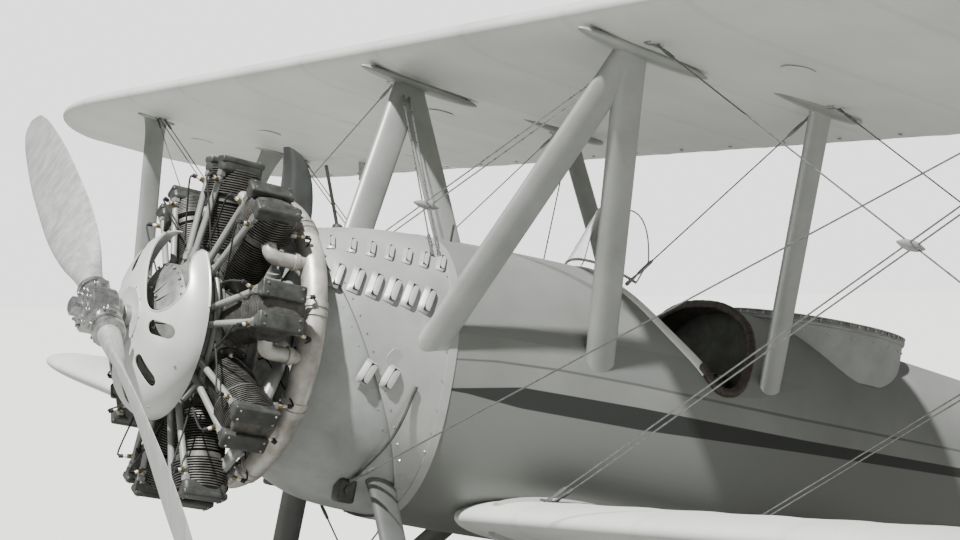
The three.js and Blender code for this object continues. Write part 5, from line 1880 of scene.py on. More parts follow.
lower_places = span_places(lower_wing, 0.30)
lower_skin = with_ribs(meshed([(skin([wing_hoop(lower_wing, x) for x in lower_places]), wing_fabric)], 40),
                       lower_chord, 0.0045, wing_fabric)
# A dark rubber walkway on the root of the lower wing; its dark also stands as painted shade along the root.
walkway_and_shade_rows = [[on_wing(lower_wing, x, s, 1, 0.0016)[0] for s in [0.16 + 0.04 * i for i in range(20)]]
             + [on_wing(lower_wing, x, s, 1, -0.004)[0] for s in [0.92 - 0.04 * i for i in range(20)]]
             for x in (0.44, 0.52, 0.60, 0.68)]
fillet_rings = []
for share in [0.04 + 0.95 * i / 40 for i in range(41)]:
    upper, lower = wing_point(lower_wing, 0.47, share, 1), wing_point(lower_wing, 0.47, share, -1)
    middle = (upper + lower) / 2
    half = (upper.z - lower.z) / 2 + 0.014
    fillet_rings.append([middle + Vector((0.035 * math.cos(a), 0, half * math.sin(a)))
                         for a in turns(16)])
pair_of("lower_wing_skin", [
    lower_skin, meshed([(skin(walkway_and_shade_rows), rubber), (skin(fillet_rings), silver_sheet)]),
    copied(eyelet, [(*on_wing(lower_wing, x, 0.965, -1), (0, 1, 0))
                    for x in long_stations(0.6, 3.8, rib_spacing)], strut_paint),
], stands_for=("lower_wing",))

# %% [markdown]
# ## Struts and wires
# Every strut is a teardrop section carried along a straight line. It widens near an end, so that
# it grows out of the skin, and the front cabane foot also stands in a low mound of sheet. The
# pads under the upper wing are long half-ellipsoids that cover the bolts of the strut ends.

# %% Struts
cabane = {"apex": (0.785, 1.412, 1.215), "front": (0.427, 1.049, 0.109), "rear": (0.427, 1.755, 0.112),
          "back_top": (0.831, 2.251, 1.211), "back_foot": (0.427, 2.559, 0.180), "chord": 0.125,
          "thick": 0.050}
interplane = {"x": 3.565, "front_top": 1.412, "rear_top": 2.251, "front_foot": 1.560,
              "rear_foot": 2.330, "inset": 0.135, "chord": 0.110, "thick": 0.042}


def strut(start, end, chord, thick, extend=0.0, flares=(0, 0), sides=36):
    """A teardrop strut; flares say how much wider each end gets."""
    start, end = Vector(start), Vector(end)
    along = (end - start).normalized()
    start, end = start - along * extend, end + along * extend
    flow = (Vector((0, 1, 0)) - along * along.y).normalized()
    side = along.cross(flow)
    length = (end - start).length
    rings = []
    for place_along in [0, 0.02, 0.04, 0.06, 0.08, 0.10, 0.12, length / 2, length - 0.12, length - 0.10,
                        length - 0.08, length - 0.06, length - 0.04, length - 0.02, length]:
        near = max(1 - place_along / 0.12, 0) ** 2 * flares[0]
        far = max(1 - (length - place_along) / 0.12, 0) ** 2 * flares[1]
        size = 1 + near + far
        middle = start + along * place_along
        ring = []
        for i in range(sides):
            angle = (i + 0.5) / sides * math.tau
            back = (math.cos(angle) + 1) / 2
            ring.append(middle + flow * math.cos(angle) * chord / 2 * size
                        + side * math.sin(angle) * thick * (1.1 - 0.5 * back) / 2 * size)
        rings.append(ring)
    return skin(rings)


def wing_pad(centre, ahead=0.225, behind=0.225, half=0.045, deep=0.024):
    """A long half-ellipsoid under the wing, with its own lengths before and behind the strut."""
    slope = 0.057
    rings = []
    for i in range(25):
        t = -math.cos(i / 24 * math.pi)
        swell = max(1 - t * t, 0.0004) ** 0.5
        along = t * (behind if t > 0 else ahead)
        rings.append([Vector(centre) + Vector((half * swell * math.cos(a), along,
                                               deep * swell * math.sin(a) - along * slope))
                      for a in turns(20)])
    return skin(rings)


def foot_fairing(point, long=0.074, wide=0.030, high=0.007):
    """A low smooth mound of sheet that the strut's foot stands in."""
    normal = outward(point[1], point[2])
    back = (Vector((0, 1, 0)) - normal * normal.y).normalized()
    up = normal.cross(back)
    centre = side_of_fuselage(point[1], point[2])
    rings = []
    for rise, share in ((-0.3, 1.0), (0.0, 0.98), (0.3, 0.9), (0.6, 0.76), (0.85, 0.5), (1.0, 0.12)):
        rings.append([centre + normal * high * rise + back * long * share * math.cos(a)
                      + up * wide * share * math.sin(a) for a in turns(36)])
    return skin(rings)


# How far a strut is carried on at both ends, and how much further its foot sinks in
strut_overlap, foot_sink = 0.045, 0.055


def cabane_strut(foot, top, size=1.0):
    """A strut whose foot goes far enough into the fuselage for its outer side to close there."""
    foot, top = Vector(cabane[foot]), Vector(cabane[top])
    inwards = (foot - top).normalized() * foot_sink
    return strut(foot + inwards, top, cabane["chord"] * size, cabane["thick"] * size, strut_overlap,
                 (0.22, 0.0))


vee = [cabane_strut(key, "apex") for key in ("front", "rear")]
pair_of("cabane_vee_struts", [
    meshed([(together(*vee), strut_paint), (wing_pad(cabane["apex"], 0.235, 0.34), strut_paint),
            (foot_fairing(cabane["front"]), silver_sheet)]),
], stands_for=("cabane_vee",))
pair_of("cabane_back_strut", [
    meshed([(cabane_strut("back_foot", "back_top", 0.8), strut_paint),
            (wing_pad(cabane["back_top"], 0.29, 0.20), strut_paint)]),
], stands_for=("cabane_back",))


def underside(wing, x, y, side=-1):
    """The wing's skin above or below a place; side -1 is its lower skin."""
    lead, trail, _, _ = wing_chord(wing, x)
    return wing_point(wing, x, (y - lead) / (trail - lead), side)


def interplane_parts(top_y, foot_y):
    top = underside(upper_wing, interplane["x"], top_y, -1)
    foot = underside(lower_wing, interplane["x"], foot_y, 1)
    return strut(foot, top, interplane["chord"], interplane["thick"], 0.012, (0.3, 0.3)), top, foot


interplane_rows = [
    ("front", interplane["front_top"], interplane["front_foot"]),
    ("diagonal", interplane["rear_top"] - interplane["inset"],
     interplane["front_foot"] + interplane["inset"]),
    ("rear", interplane["rear_top"], interplane["rear_foot"]),
]
for strut_name, top_y, foot_y in interplane_rows:
    shape, top, foot = interplane_parts(top_y, foot_y)
    caps = together(*[wing_pad(end, 0.11, 0.11, 0.036, 0.012) for end in (top, foot)])
    pair_of(f"interplane_{strut_name}_strut", [meshed([(shape, strut_paint), (caps, strut_paint)])],
            stands_for=(f"interplane_{strut_name}",))

# %% [markdown]
# Streamlined steel wires brace the wings: pairs of flying wires carry lift, single landing wires
# carry the wings on the ground. A wire screws into a turnbuckle at each end, which a forked
# fitting holds. Where wires cross, a small wooden bullet keeps them from rattling. One more wire
# on each side runs from a lug low on the cone to the top of the outer front strut.

# %% Wires
def wire_shape(start, end, radius=0.0028):
    start, end = Vector(start), Vector(end)
    along = (end - start).normalized()
    parts = [rod(start, end, radius, 8)]
    for point, inward in ((start, along), (end, -along)):
        parts.append(pipe([point + inward * s for s in (0.055, 0.063, 0.095, 0.127, 0.135)],
                          [radius * 1.2, 0.0062, 0.0070, 0.0062, radius * 1.2], 12))
        parts.append(pipe([point + inward * s for s in (-0.004, 0.0, 0.030, 0.055)],
                          [0.004, 0.0080, 0.0062, 0.0040], 10))
    return together(*parts)


def wire_pair(start, end, apart=0.032, **sizes):
    gap = Vector((0, apart / 2, 0))
    return together(*[wire_shape(Vector(start) + s * gap, Vector(end) + s * gap, **sizes) for s in (-1, 1)])


def bullet(first, second):
    """A wooden bullet where two lines pass closest."""
    a, b = [Vector(p) for p in first]
    c, d = [Vector(p) for p in second]
    u, v, w = b - a, d - c, c - a
    normal = u.cross(v)
    where = a + u * w.cross(v).dot(normal) / normal.length_squared
    return turned([(0.003, -0.055), (0.013, -0.03), (0.017, 0), (0.013, 0.03), (0.003, 0.055)], 16,
                  centre=where, axis=(0, 1, 0), near=(1, 0, 0))


def bay_wires(top_y, foot_y):
    top_x, foot_x = interplane["x"] - 0.07, 0.540
    outer_top = underside(upper_wing, top_x, top_y, -1) + Vector((0, 0, 0.004))
    outer_foot = underside(lower_wing, top_x, foot_y, 1) - Vector((0, 0, 0.004))
    inner_top = underside(upper_wing, cabane["back_top"][0] + 0.08, top_y, -1) + Vector((0, 0, 0.004))
    inner_foot = underside(lower_wing, foot_x, foot_y, 1) - Vector((0, 0, 0.004))
    flying, landing = (inner_foot, outer_top), (inner_top, outer_foot)
    anchors = together(*[block(p - Vector((0.022, 0.030, 0.010)), p + Vector((0.022, 0.030, 0.010)), 0.005)
                         for p in (*flying, *landing)])
    return [(together(wire_pair(*flying), wire_shape(*landing)), wire_steel),
            (bullet(flying, landing), strut_paint), (anchors, bright_steel)]


def nose_wires():
    """A wire from a lug low on the cone to the front strut's top, and a thin rod up to the cowl."""
    lug = side_of_fuselage(0.885, -0.450, 0.002)
    top = underside(upper_wing, interplane["x"] - 0.02, interplane["front_top"], -1)
    brace_top = side_of_fuselage(1.000, -0.060, 0.004)
    low, high = lug - Vector((0.030, 0.034, 0.045)), lug + Vector((0.030, 0.034, 0.040))
    pin = rod(lug - Vector((0.05, 0, 0)), lug + Vector((0.038, 0, 0)), 0.017, 16)
    fitting = together(block(low, high, 0.012, 3), pin)
    eye = lug + Vector((0.036, 0, 0.034))
    middle = side_of_fuselage(0.945, -0.245, 0.026)
    brace = pipe(curve_through([eye, middle, brace_top + Vector((0.006, 0, 0))], 6), 0.0055, 10)
    return [(wire_shape(eye, top, 0.0026), wire_steel),
            (together(fitting, brace), enamel)]


for stay_name, top_y, foot_y in (("front", interplane["front_top"], interplane["front_foot"]),
                                 ("rear", interplane["rear_top"], interplane["rear_foot"])):
    more = nose_wires() if stay_name == "front" else []
    pair_of(f"stay_wires_{stay_name}", [meshed(bay_wires(top_y, foot_y) + more)],
            stands_for=(f"stays_{stay_name}",))

cross_top = (cabane["apex"][0] - 0.030, cabane["apex"][1] - 0.020, 1.150)
cross_foot = (-0.290, cabane["front"][1] + 0.020, 0.420)
cross_other = [mirrored_place(cross_top), mirrored_place(cross_foot)]
cross_back = [(0.80, 2.25, 1.20), (0.30, 1.90, 0.475)]
back_wires = together(wire_shape(*cross_back), wire_shape(*[mirrored_place(p) for p in cross_back]))
piece("cabane_wires", [
    (together(wire_pair(cross_top, cross_foot, 0.030), wire_pair(*cross_other, 0.030)), bright_steel),
    (back_wires, wire_steel),
    (bullet((cross_top, cross_foot), cross_other), strut_paint)],
    stands_for=("cabane_stays",))


# %% [markdown]
# ## Landing gear
# Two vees of streamlined tube carry a through axle, bound to them by turns of rubber cord. Each
# wheel is a spoked rim behind smooth fabric-lined discs, with a smooth low-pressure tyre.

# %% Landing gear
gear = {"y": 1.200, "z": -1.320, "track": 0.860, "tyre": 0.380, "width": 0.130,
        "rim": 0.262, "top_x": 0.330, "top_z": -0.440, "tops": (1.010, 1.790), "foot_x": 0.735,
        "chord": 0.105, "thick": 0.046}
axle_point = Vector((0, gear["y"], gear["z"]))
leg_foot = Vector((gear["foot_x"], gear["y"], gear["z"]))
legs = [strut(leg_foot, (gear["top_x"], y, gear["top_z"]), gear["chord"], gear["thick"], 0.06, (0, 0.2))
        for y in gear["tops"]]


def about_axle(profile, sides, x):
    return turned(profile, sides, centre=axle_point + Vector((x, 0, 0)), axis=(1, 0, 0), near=(0, 0, 1))


leg_boss = about_axle([(0.031, -0.060), (0.055, -0.060), (0.062, -0.054), (0.062, 0.018), (0.056, 0.024),
                       (0.031, 0.024)], 40, gear["foot_x"])
cord_turns = together(*[about_axle([(0.062 + 0.0075 * math.cos(a), 0.0075 * math.sin(a))
                                    for a in turns(8, 1)], 32,
                                   gear["foot_x"] - 0.048 + 0.0145 * n) for n in range(5)])
bolt_circle = 0.046
leg_bolts = [(leg_foot + Vector((-0.061, bolt_circle * math.cos(a), bolt_circle * math.sin(a))),
              (-1, 0, 0), (0, 1, 0)) for a in turns(6)]
pair_of("gear_leg_struts", [meshed([(together(*legs), gear_paint), (leg_boss, bright_steel),
                                    (cord_turns, rubber)]),
                            copied(bolt_shape(9 * mm, 6 * mm), leg_bolts, bright_steel)],
        stands_for=("gear_leg",))
gear_wires = both(wire_shape(leg_foot + Vector((-0.05, 0, 0.05)), (-0.30, 1.08, -0.50), 0.0032))
axle_profile = [(0, -0.912), (0.020, -0.912), (0.0215, -0.905), (0.0215, -0.900), (0.030, -0.898),
                (0.030, 0.898), (0.0215, 0.900), (0.0215, 0.905), (0.020, 0.912), (0, 0.912)]
piece("axle_tube", [(about_axle(axle_profile, 40, 0.0), bright_steel), (gear_wires, wire_steel)],
      stands_for=("axle",))


# %% Wheels and tyres
def tyre_profile():
    middle, tall = (gear["tyre"] + gear["rim"]) / 2, (gear["tyre"] - gear["rim"]) / 2
    profile = []
    for i in range(49):
        angle = i / 48 * math.tau
        radius = middle + tall * math.cos(angle)
        groove = 0.0016 if abs(math.sin(angle)) < 0.5 and math.cos(angle) > 0 and i % 3 == 0 else 0
        profile.append((radius - groove, gear["width"] / 2 * math.sin(angle)))
    return profile


wheel_profile = [(0.034, -0.066), (0.056, -0.066), (0.060, -0.062), (0.078, -0.058), (0.100, -0.055),
                 (0.180, -0.046), (0.245, -0.036), (0.252, -0.034), (0.256, -0.030), (0.2617, -0.026),
                 (0.2617, 0.026), (0.256, 0.030), (0.252, 0.034), (0.245, 0.037), (0.180, 0.050),
                 (0.100, 0.062), (0.082, 0.064), (0.060, 0.066), (0.056, 0.073), (0.052, 0.0735),
                 (0.046, 0.070), (0, 0.072), (0, 0.0575), (0.034, 0.0575), (0.034, -0.066)]
wheel_discs = about_axle(wheel_profile, 96, gear["track"])
lacing = [(axle_point + Vector((gear["track"] + 0.0355, 0.240 * math.cos(a), 0.240 * math.sin(a))),
           (1, 0, 0), (0, 1, 0)) for a in turns(36)]
valve = rod(axle_point + Vector((gear["track"] + 0.030, 0.222, 0.03)),
            axle_point + Vector((gear["track"] + 0.058, 0.216, 0.03)), 0.005, 10)
hub_cap = about_axle([(0.047, 0.0700), (0.044, 0.0765), (0.030, 0.0785), (0, 0.079)], 36, gear["track"])
pair_of("wheel_discs", [meshed([(wheel_discs, strut_paint), (hub_cap, bright_steel), (valve, brass)], 25),
                        copied(rivet_shape(4 * mm, 2 * mm), lacing, bright_steel)],
        bodies="wheel", stands_for=("wheel",))
pair_of("tyre_rubber", [meshed([(about_axle(tyre_profile(), 128, gear["track"]), rubber)], 24)],
        bodies="wheel", stands_for=("tyre",))

# %% Tail skid
skid_path = [(6.30, -0.150), (6.45, -0.215), (6.62, -0.315), (6.78, -0.425), (6.90, -0.495)]


def leaf(index):
    """One leaf of the skid's spring; each is shorter than the one above it."""
    points = curve_through([(0, y, z) for y, z in skid_path[:5 - index]], 8)
    rings = []
    for i, point in enumerate(points):
        ahead = heading(points, i)
        down = Vector((0, ahead.z, -ahead.y)).normalized()
        low = point + down * 0.013 * (index + 1)
        rings.append([low + Vector((x, 0, 0)) + down * d for x, d in
                      ((-0.023, 0), (0.023, 0), (0.023, -0.011), (-0.023, -0.011))])
    return skin(rings)


shoe_turn = Matrix.Translation((0, 6.900, -0.512)) @ Matrix.Rotation(pitch, 4, "X")
shoe = moved(block((-0.045, -0.095, 0.0), (0.045, 0.095, 0.026), 0.008, 3), shoe_turn)
skid_clips = together(*[block((-0.030, y - 0.014, z - 0.045), (0.030, y + 0.014, z + 0.012), 0.004)
                        for y, z in ((6.47, -0.235), (6.66, -0.345))])
piece("tail_skid_spring", [(together(*[leaf(i) for i in range(3)]), bright_steel), (skid_clips, cone_sheet),
                           (shoe, bright_steel)], stands_for=("tail_skid",))

# %% [markdown]
# ## Tail
# Fixed and moving surfaces are drawn by tables, like the fuselage: place across or height, edge
# and half thickness. A smooth curve through the rows gives their outline, as a bent tube does on
# the real ones. The moving ones are round about their hinge and thin behind.

# %% Tail surfaces
tail = {"plane": 0.205, "elevator": 6.600, "rudder": 6.768, "elevator_nose": 0.027, "rudder_nose": 0.024,
        "gap": 0.008, "thin": 0.004}


def bent_tube(*rows):
    """More rows of the same table, along a smooth curve through the given ones."""
    return [tuple(point) for point in curve_through(rows, 5)]


# Place across, leading edge, half thickness
plane_rows = bent_tube((0, 5.790, 0.027), (0.600, 5.840, 0.027), (1.150, 5.905, 0.027), (1.450, 6.010, 0.025),
                       (1.660, 6.170, 0.021), (1.760, 6.370, 0.015), (1.780, 6.480, 0.011))
# Place across, trailing edge, radius of the nose
elevator_rows = bent_tube((0.105, 6.690, 0.027), (0.225, 6.880, 0.027), (0.350, 7.070, 0.027),
                          (0.750, 7.155, 0.027), (1.200, 7.150, 0.027), (1.500, 7.080, 0.025),
                          (1.690, 6.940, 0.020), (1.770, 6.780, 0.014), (1.785, 6.700, 0.011))
# Height, leading edge, half thickness
fin_rows = bent_tube((0.200, 5.960, 0.024), (0.420, 6.080, 0.024), (0.700, 6.250, 0.023),
                     (0.900, 6.400, 0.020), (1.010, 6.530, 0.015), (1.062, 6.640, 0.011),
                     (1.078, 6.710, 0.008))
# Height, trailing edge, radius of the nose
rudder_rows = bent_tube((-0.060, 7.060, 0.018), (0.020, 7.230, 0.024), (0.160, 7.320, 0.024),
                        (0.380, 7.350, 0.024), (0.640, 7.320, 0.024), (0.880, 7.220, 0.023),
                        (1.040, 7.060, 0.020), (1.110, 6.900, 0.014), (1.124, 6.820, 0.010))


def level(at, y, h):
    return Vector((at, y, tail["plane"] + h))


def standing(at, y, h):
    return Vector((h, y, at))


def fixed_hoop(rows, at, trail, put, steps=14):
    _, lead, half = eased(rows, abs(at))
    shares = [1 - math.cos(i / steps * math.pi / 2) for i in range(steps + 1)]
    rise = [(s, math.sqrt(s) * (1.3 - 0.3 * s) * half) for s in shares]
    return ([put(at, lead + s * (trail - lead), h) for s, h in reversed(rise)]
            + [put(at, lead + s * (trail - lead), -h) for s, h in rise[1:]])


def hinged_hoop(rows, at, hinge, put, steps=12):
    _, trail, nose = eased(rows, at)
    arc = [math.pi / 2 + i / steps * math.pi for i in range(steps + 1)]
    front = [put(at, hinge + nose * math.cos(a), nose * math.sin(a)) for a in arc]
    back = [(hinge + (trail - hinge) * i / 8, nose + (tail["thin"] - nose) * i / 8) for i in range(1, 9)]
    return (front + [put(at, y, -h) for y, h in back] + [put(at, y, h) for y, h in reversed(back)])


def tail_skin(rings, finish_of, chords, across, sag=0.0025):
    return with_ribs(meshed([(skin(rings), finish_of)], 40), chords, sag, finish_of, 0.24, across, 0.1)


plane_trail = tail["elevator"] - tail["elevator_nose"] - tail["gap"]
half_plane = long_stations(0, 1.780, 0.02)
plane_places = [-x for x in reversed(half_plane)] + half_plane[1:]
tailplane = tail_skin([fixed_hoop(plane_rows, x, plane_trail, level) for x in plane_places], wing_fabric,
                      lambda p: (5.8, plane_trail), (1, 0, 0))
fin_trail = tail["rudder"] - tail["rudder_nose"] - tail["gap"]
fin = tail_skin([fixed_hoop(fin_rows, z, fin_trail, standing) for z in long_stations(0.200, 1.078, 0.02)],
                upright_fabric, lambda p: (5.9, fin_trail), (0, 0, 1))
elevator = tail_skin([hinged_hoop(elevator_rows, x, tail["elevator"], level)
                      for x in long_stations(0.105, 1.785, 0.02)], wing_fabric,
                     lambda p: (tail["elevator"] - 0.1, 7.2), (1, 0, 0), 0.002)
rudder = tail_skin([hinged_hoop(rudder_rows, z, tail["rudder"], standing)
                    for z in long_stations(-0.060, 1.124, 0.02)], upright_fabric,
                   lambda p: (tail["rudder"] - 0.1, 7.35), (0, 0, 1), 0.002)
tail_wires = both(together(
    wire_shape((0.018, 6.42, 0.80), (1.16, 6.42, 0.228), 0.0026),
    wire_shape((1.16, 6.42, 0.180), (0.075, 6.42, -0.10), 0.0026),
    wire_shape((0.018, 6.15, 0.52), (1.02, 6.06, 0.226), 0.0026)))
elevator_lugs = together(*[block((x - 0.010, plane_trail - 0.004, 0.197),
                                 (x + 0.010, plane_trail + 0.005, 0.213), 0.002)
                           for x in (0.30, 0.95, 1.60)])
rudder_lugs = together(*[block((-0.010, fin_trail - 0.004, z - 0.012), (0.010, fin_trail + 0.005, z + 0.012),
                               0.002) for z in (0.36, 0.66, 0.94)])
tail_fittings = meshed([(both(elevator_lugs), bright_steel), (tail_wires, wire_steel)])
piece_of("tailplane_skin", [tailplane, tail_fittings],
         stands_for=("tailplane",))
piece_of("fin_skin", [fin, meshed([(rudder_lugs, bright_steel)])], stands_for=("fin",))
elevator_horns = together(*[horn((0.26, 6.62, tail["plane"] + s * 0.024), (0, 0, s), 0.13)
                            for s in (1, -1)])
pair_of("elevator_skin", [elevator, meshed([(elevator_horns, bright_steel)])], bodies="elevator",
        stands_for=("elevator",))
rudder_horn = plate([(-0.16, -0.018), (0.16, -0.018), (0.16, 0.006), (0.03, 0.028), (-0.03, 0.028),
                     (-0.16, 0.006)], 0.006, Matrix.Translation((0, tail["rudder"] + 0.01, 0.10)), 0.001)
piece_of("rudder_skin", [rudder, meshed([(rudder_horn, bright_steel)])], body="rudder",
         stands_for=("rudder",))


# %% [markdown]
# ## Cockpits
# Inside the skin is a bay with a plywood floor, plywood frames at its ends and a lattice of steel
# tubes along its sides. The shell is thin, so all of this shows through the two openings.

# %% Bays
floor_z = -0.400
bays = [(1.840, 2.606), (2.640, 3.556)]
frame_places = [(1.8325, 1.8385), (2.610, 2.634), (3.560, 3.598)]
frame_inset, tube_inset = 0.0155, 0.036
longeron_heights = (-0.36, 0.12)


def board(y0, y1, z, thick):
    rows = []
    for y in long_stations(y0, y1, 0.1):
        x = side_of_fuselage(y, z, -0.017).x
        rows.append([Vector((s * x, y, z - t)) for s, t in ((1, 0), (-1, 0), (-1, thick), (1, thick))])
    return skin(rows)


floor_boards = together(*[board(a, b, floor_z, 0.012) for a, b in bays])
frames = together(*[skin([hoop(a, -frame_inset), hoop(b, -frame_inset)]) for a, b in frame_places])


def tube_point(y, z):
    return side_of_fuselage(y, z, -tube_inset)


def lattice():
    """Longerons, uprights and diagonals of thin tube along the port side."""
    found = []
    for start, end in bays:
        count = 3
        places = [start + 0.02 + (end - start - 0.04) * i / count for i in range(count + 1)]
        for z in longeron_heights:
            found.append(pipe([tube_point(y, z) for y in places], 0.011, 12))
        for i, y in enumerate(places):
            low, high = longeron_heights
            found.append(rod(tube_point(y, low), tube_point(y, high), 0.009, 12))
            if i < count:
                here, there = (low, high) if i % 2 else (high, low)
                found.append(rod(tube_point(y, here), tube_point(places[i + 1], there), 0.0065, 10))
    return together(*found)


piece("cockpit_interior", [(floor_boards, floor_plywood), (frames, dark_inside),
                           (both(lattice()), dark_inside)])

# %% [markdown]
# The front cockpit's edge has a light strip on its slanting front and a padded leather roll
# round the dip behind it. The strip's light paint is painted sheen of its bare metal in the sun.
# Both follow the skin: the outline's height and place give the point on the surface. The roll is
# laced on, so it is slightly pinched between its stitches.

# %% Front coaming
edge_line = curve_through([(0, y, z) for y, z in front_edge], 8)
rim_port = [side_of_fuselage(p.y, min(p.z, on_fuselage(p.y, math.pi / 2).z - 0.002)) for p in edge_line]


def across_deck(y, height):
    """Points over the deck at a place along, from a height on one side to the same on the other."""
    trials = [math.pi / 2 - 0.01 * i for i in range(150)]
    start = next(a for a in trials if on_fuselage(y, a).z <= height)
    return [on_fuselage(y, start + (math.pi - 2 * start) * i / 24) for i in range(1, 24)]


front_over = across_deck(1.850, rim_port[0].z)
rear_over = across_deck(2.510, rim_port[-1].z)


def strip_along(points, width, high):
    """A flat rounded strip folded over an edge: points with the outward direction."""
    rings = []
    for i, point in enumerate(points):
        ahead = heading(points, i).normalized()
        out = (point - Vector((0, point.y, 0))).normalized()
        out = (out - ahead * out.dot(ahead)).normalized()
        side = ahead.cross(out)
        rings.append([point + side * math.cos(a) * width / 2 + out * math.sin(a) * high
                      for a in turns(12)])
    return skin(rings)


bend_at = next(i for i, p in enumerate(edge_line) if p.y > 2.235)
metal_port = strip_along(rim_port[:bend_at], 0.046, 0.007)
metal_front = strip_along([mirrored_place(rim_port[0])] + list(reversed(front_over)) + [rim_port[0]],
                          0.030, 0.006)
roll_line = rim_port[bend_at - 4:] + rear_over + [mirrored_place(p) for p in reversed(rim_port[bend_at - 4:])]
roll_line = curve_through(roll_line, 4)
roll_radii, run = [], 0.0
for here, there in zip(roll_line, roll_line[1:] + [roll_line[-1]]):
    roll_radii.append(0.0185 - 0.0022 * max(0, math.cos(run / 0.045 * math.tau)) ** 6)
    run += (there - here).length
roll_radii[0] = roll_radii[-1] = 0.010
coaming_roll = pipe(roll_line, roll_radii, 18)
strip_rivets = [(p + (p - Vector((0, p.y, 0))).normalized() * 0.006, p - Vector((0, p.y, 0)), (0, 1, 0))
                for p in rim_port[4:bend_at:6]]
strip_rivets += [tuple(mirrored_place(v) for v in row) for row in strip_rivets]
piece_of("front_coaming", [
    # The strips take the dome's light paint, as painted sheen of bare metal.
    meshed([(both(metal_port), dome_sheet), (metal_front, dome_sheet), (coaming_roll, dark_leather)]),
    copied(rivet_shape(3 * mm, 1.4 * mm), strip_rivets, bright_steel),
])

# %% Windscreen
screen = {"y": 2.062, "z": 0.440, "radius": 0.235, "wall": 0.004, "sweep": math.radians(70),
          "height": 0.285, "rake": math.radians(24)}


def on_screen(angle, up, grow=0.0):
    radius = screen["radius"] + grow
    point = Vector((radius * math.sin(angle), -radius * math.cos(angle), up))
    return Matrix.Rotation(-screen["rake"], 3, "X") @ point + Vector((0, screen["y"], screen["z"]))


def screen_edges():
    """Angle and height round the pane: level foot, rounded upper corners, level top."""
    points = []
    for i in range(61):
        t = -1 + 2 * i / 60
        top = screen["height"] * (1 - 0.55 * max(abs(t) - 0.45, 0) ** 2 / 0.3025)
        points.append((t * screen["sweep"], top))
    return points


top_edge = screen_edges()
foot = 0.030
pane_rows = [[on_screen(a, foot + (top - foot) * share, -grow) for a, top in top_edge]
             for grow, share in ((0.0, 0.0), (0.0, 1.0), (screen["wall"], 1.0), (screen["wall"], 0.0))]
pane = skin([[row[i] for row in pane_rows] for i in range(len(top_edge))])
top_line = [on_screen(a, top, -0.002) for a, top in top_edge]
foot_line = [on_screen(a, foot, -0.002) for a, _ in top_edge]
screen_frame = together(pipe(top_line, 0.0030, 10), pipe(foot_line, 0.0055, 10),
                        pipe([top_line[0], foot_line[0]], 0.0030, 10),
                        pipe([top_line[-1], foot_line[-1]], 0.0030, 10))
piece("windscreen_pane", [(pane, clear_glass), (screen_frame, bright_steel)],
      stands_for=("windscreen",))

# %% [markdown]
# The instrument panel is crackle-painted sheet with black dials. Each dial is a bezel, a sunk
# face, a ring of ivory ticks from the copies tree, and a needle. The faces carry no lettering.

# %% Instrument panel
panel = {"front": 1.880, "rear": 1.898, "low": 0.120, "high": 0.455}
# Place across, height, radius, number of ticks and needle's angle in degrees
dials = [
    (-0.200, 0.350, 0.042, 12, 40), (-0.090, 0.365, 0.046, 20, 200), (0.035, 0.365, 0.050, 24, 310),
    (0.155, 0.350, 0.042, 12, 95), (-0.225, 0.235, 0.034, 10, 150), (-0.130, 0.240, 0.034, 10, 60),
    (-0.030, 0.245, 0.040, 16, 250), (0.075, 0.240, 0.034, 10, 20), (0.170, 0.235, 0.034, 10, 330),
]


def panel_plate():
    heights = long_stations(panel["low"], panel["high"], 0.02)
    right = [(side_of_fuselage(1.89, z, -0.026).x, z) for z in heights]
    outline = right + [(-x, z) for x, z in reversed(right)]
    return plate(outline, panel["rear"] - panel["front"],
                 basis((0, (panel["front"] + panel["rear"]) / 2, 0), (1, 0, 0), (0, 0, 1), (0, -1, 0)), 0.002)


def dial_parts():
    bezels, faces, needles, ticks = [], [], [], []
    for x, z, radius, count, angle in dials:
        centre = Vector((x, panel["rear"], z))
        bezels.append(turned([(radius * 0.80, 0.004), (radius * 0.86, 0.008), (radius * 0.97, 0.008),
                              (radius, 0.004), (radius, -0.001), (radius * 0.80, -0.001)], 36, centre=centre))
        faces.append(turned([(0, 0.0016), (radius * 0.82, 0.0016), (radius * 0.82, 0)], 36, centre=centre))
        lean = math.radians(angle)
        out = clock(lean)
        needles.append(rod(centre - out * radius * 0.15 + Vector((0, 0.003, 0)),
                           centre + out * radius * 0.62 + Vector((0, 0.003, 0)), 0.0016, 6, 0.0005))
        needles.append(turned([(0.004, 0.001), (0.004, 0.0045), (0, 0.005)], 12, centre=centre))
        for i in range(count):
            a = i / count * math.tau
            spoke = clock(a)
            size = 1.5 if i % (count // 4 or 1) == 0 else 1.0
            ticks.append((centre + spoke * radius * 0.70 + Vector((0, 0.002, 0)), (0, 1, 0), spoke, size))
    return together(*bezels), together(*faces), together(*needles), ticks


bezels, faces, needles, ticks = dial_parts()
# Place across of each switch, and 1 where its lever points up or -1 where it points down
switch_rows = ((-0.18, 1), (-0.14, -1), (-0.10, 1), (0.12, 1), (0.16, 1))
switches = together(*[rod((x, panel["rear"], 0.160), (x, panel["rear"] + 0.016, 0.156 + s * 0.012),
                          0.0032, 10) for x, s in switch_rows])
switch_nuts = [(Vector((x, panel["rear"], 0.160)), (0, 1, 0), (1, 0, 0), 0.8) for x, _ in switch_rows]
screw_places = ((-0.36, 0.16), (-0.33, 0.32), (-0.25, 0.43), (0, 0.44), (0.25, 0.43), (0.33, 0.32),
                (0.36, 0.16))
panel_screws = [(Vector((x, panel["rear"], z)), (0, 1, 0), (1, 0, 0), 0.6) for x, z in screw_places]
tick = block((-0.0035, -0.0007, 0), (0.0035, 0.0007, 0.0006), 0)
piece_of("instrument_board", [
    meshed([(panel_plate(), black_lacquer), (bezels, black_lacquer), (faces, dial_black),
            (needles, dial_white), (switches, bright_steel)]),
    copied(tick, ticks, dial_white),
    copied(bolt_shape(9 * mm, 5 * mm), switch_nuts + panel_screws, bright_steel),
], stands_for=("instrument_panel",))

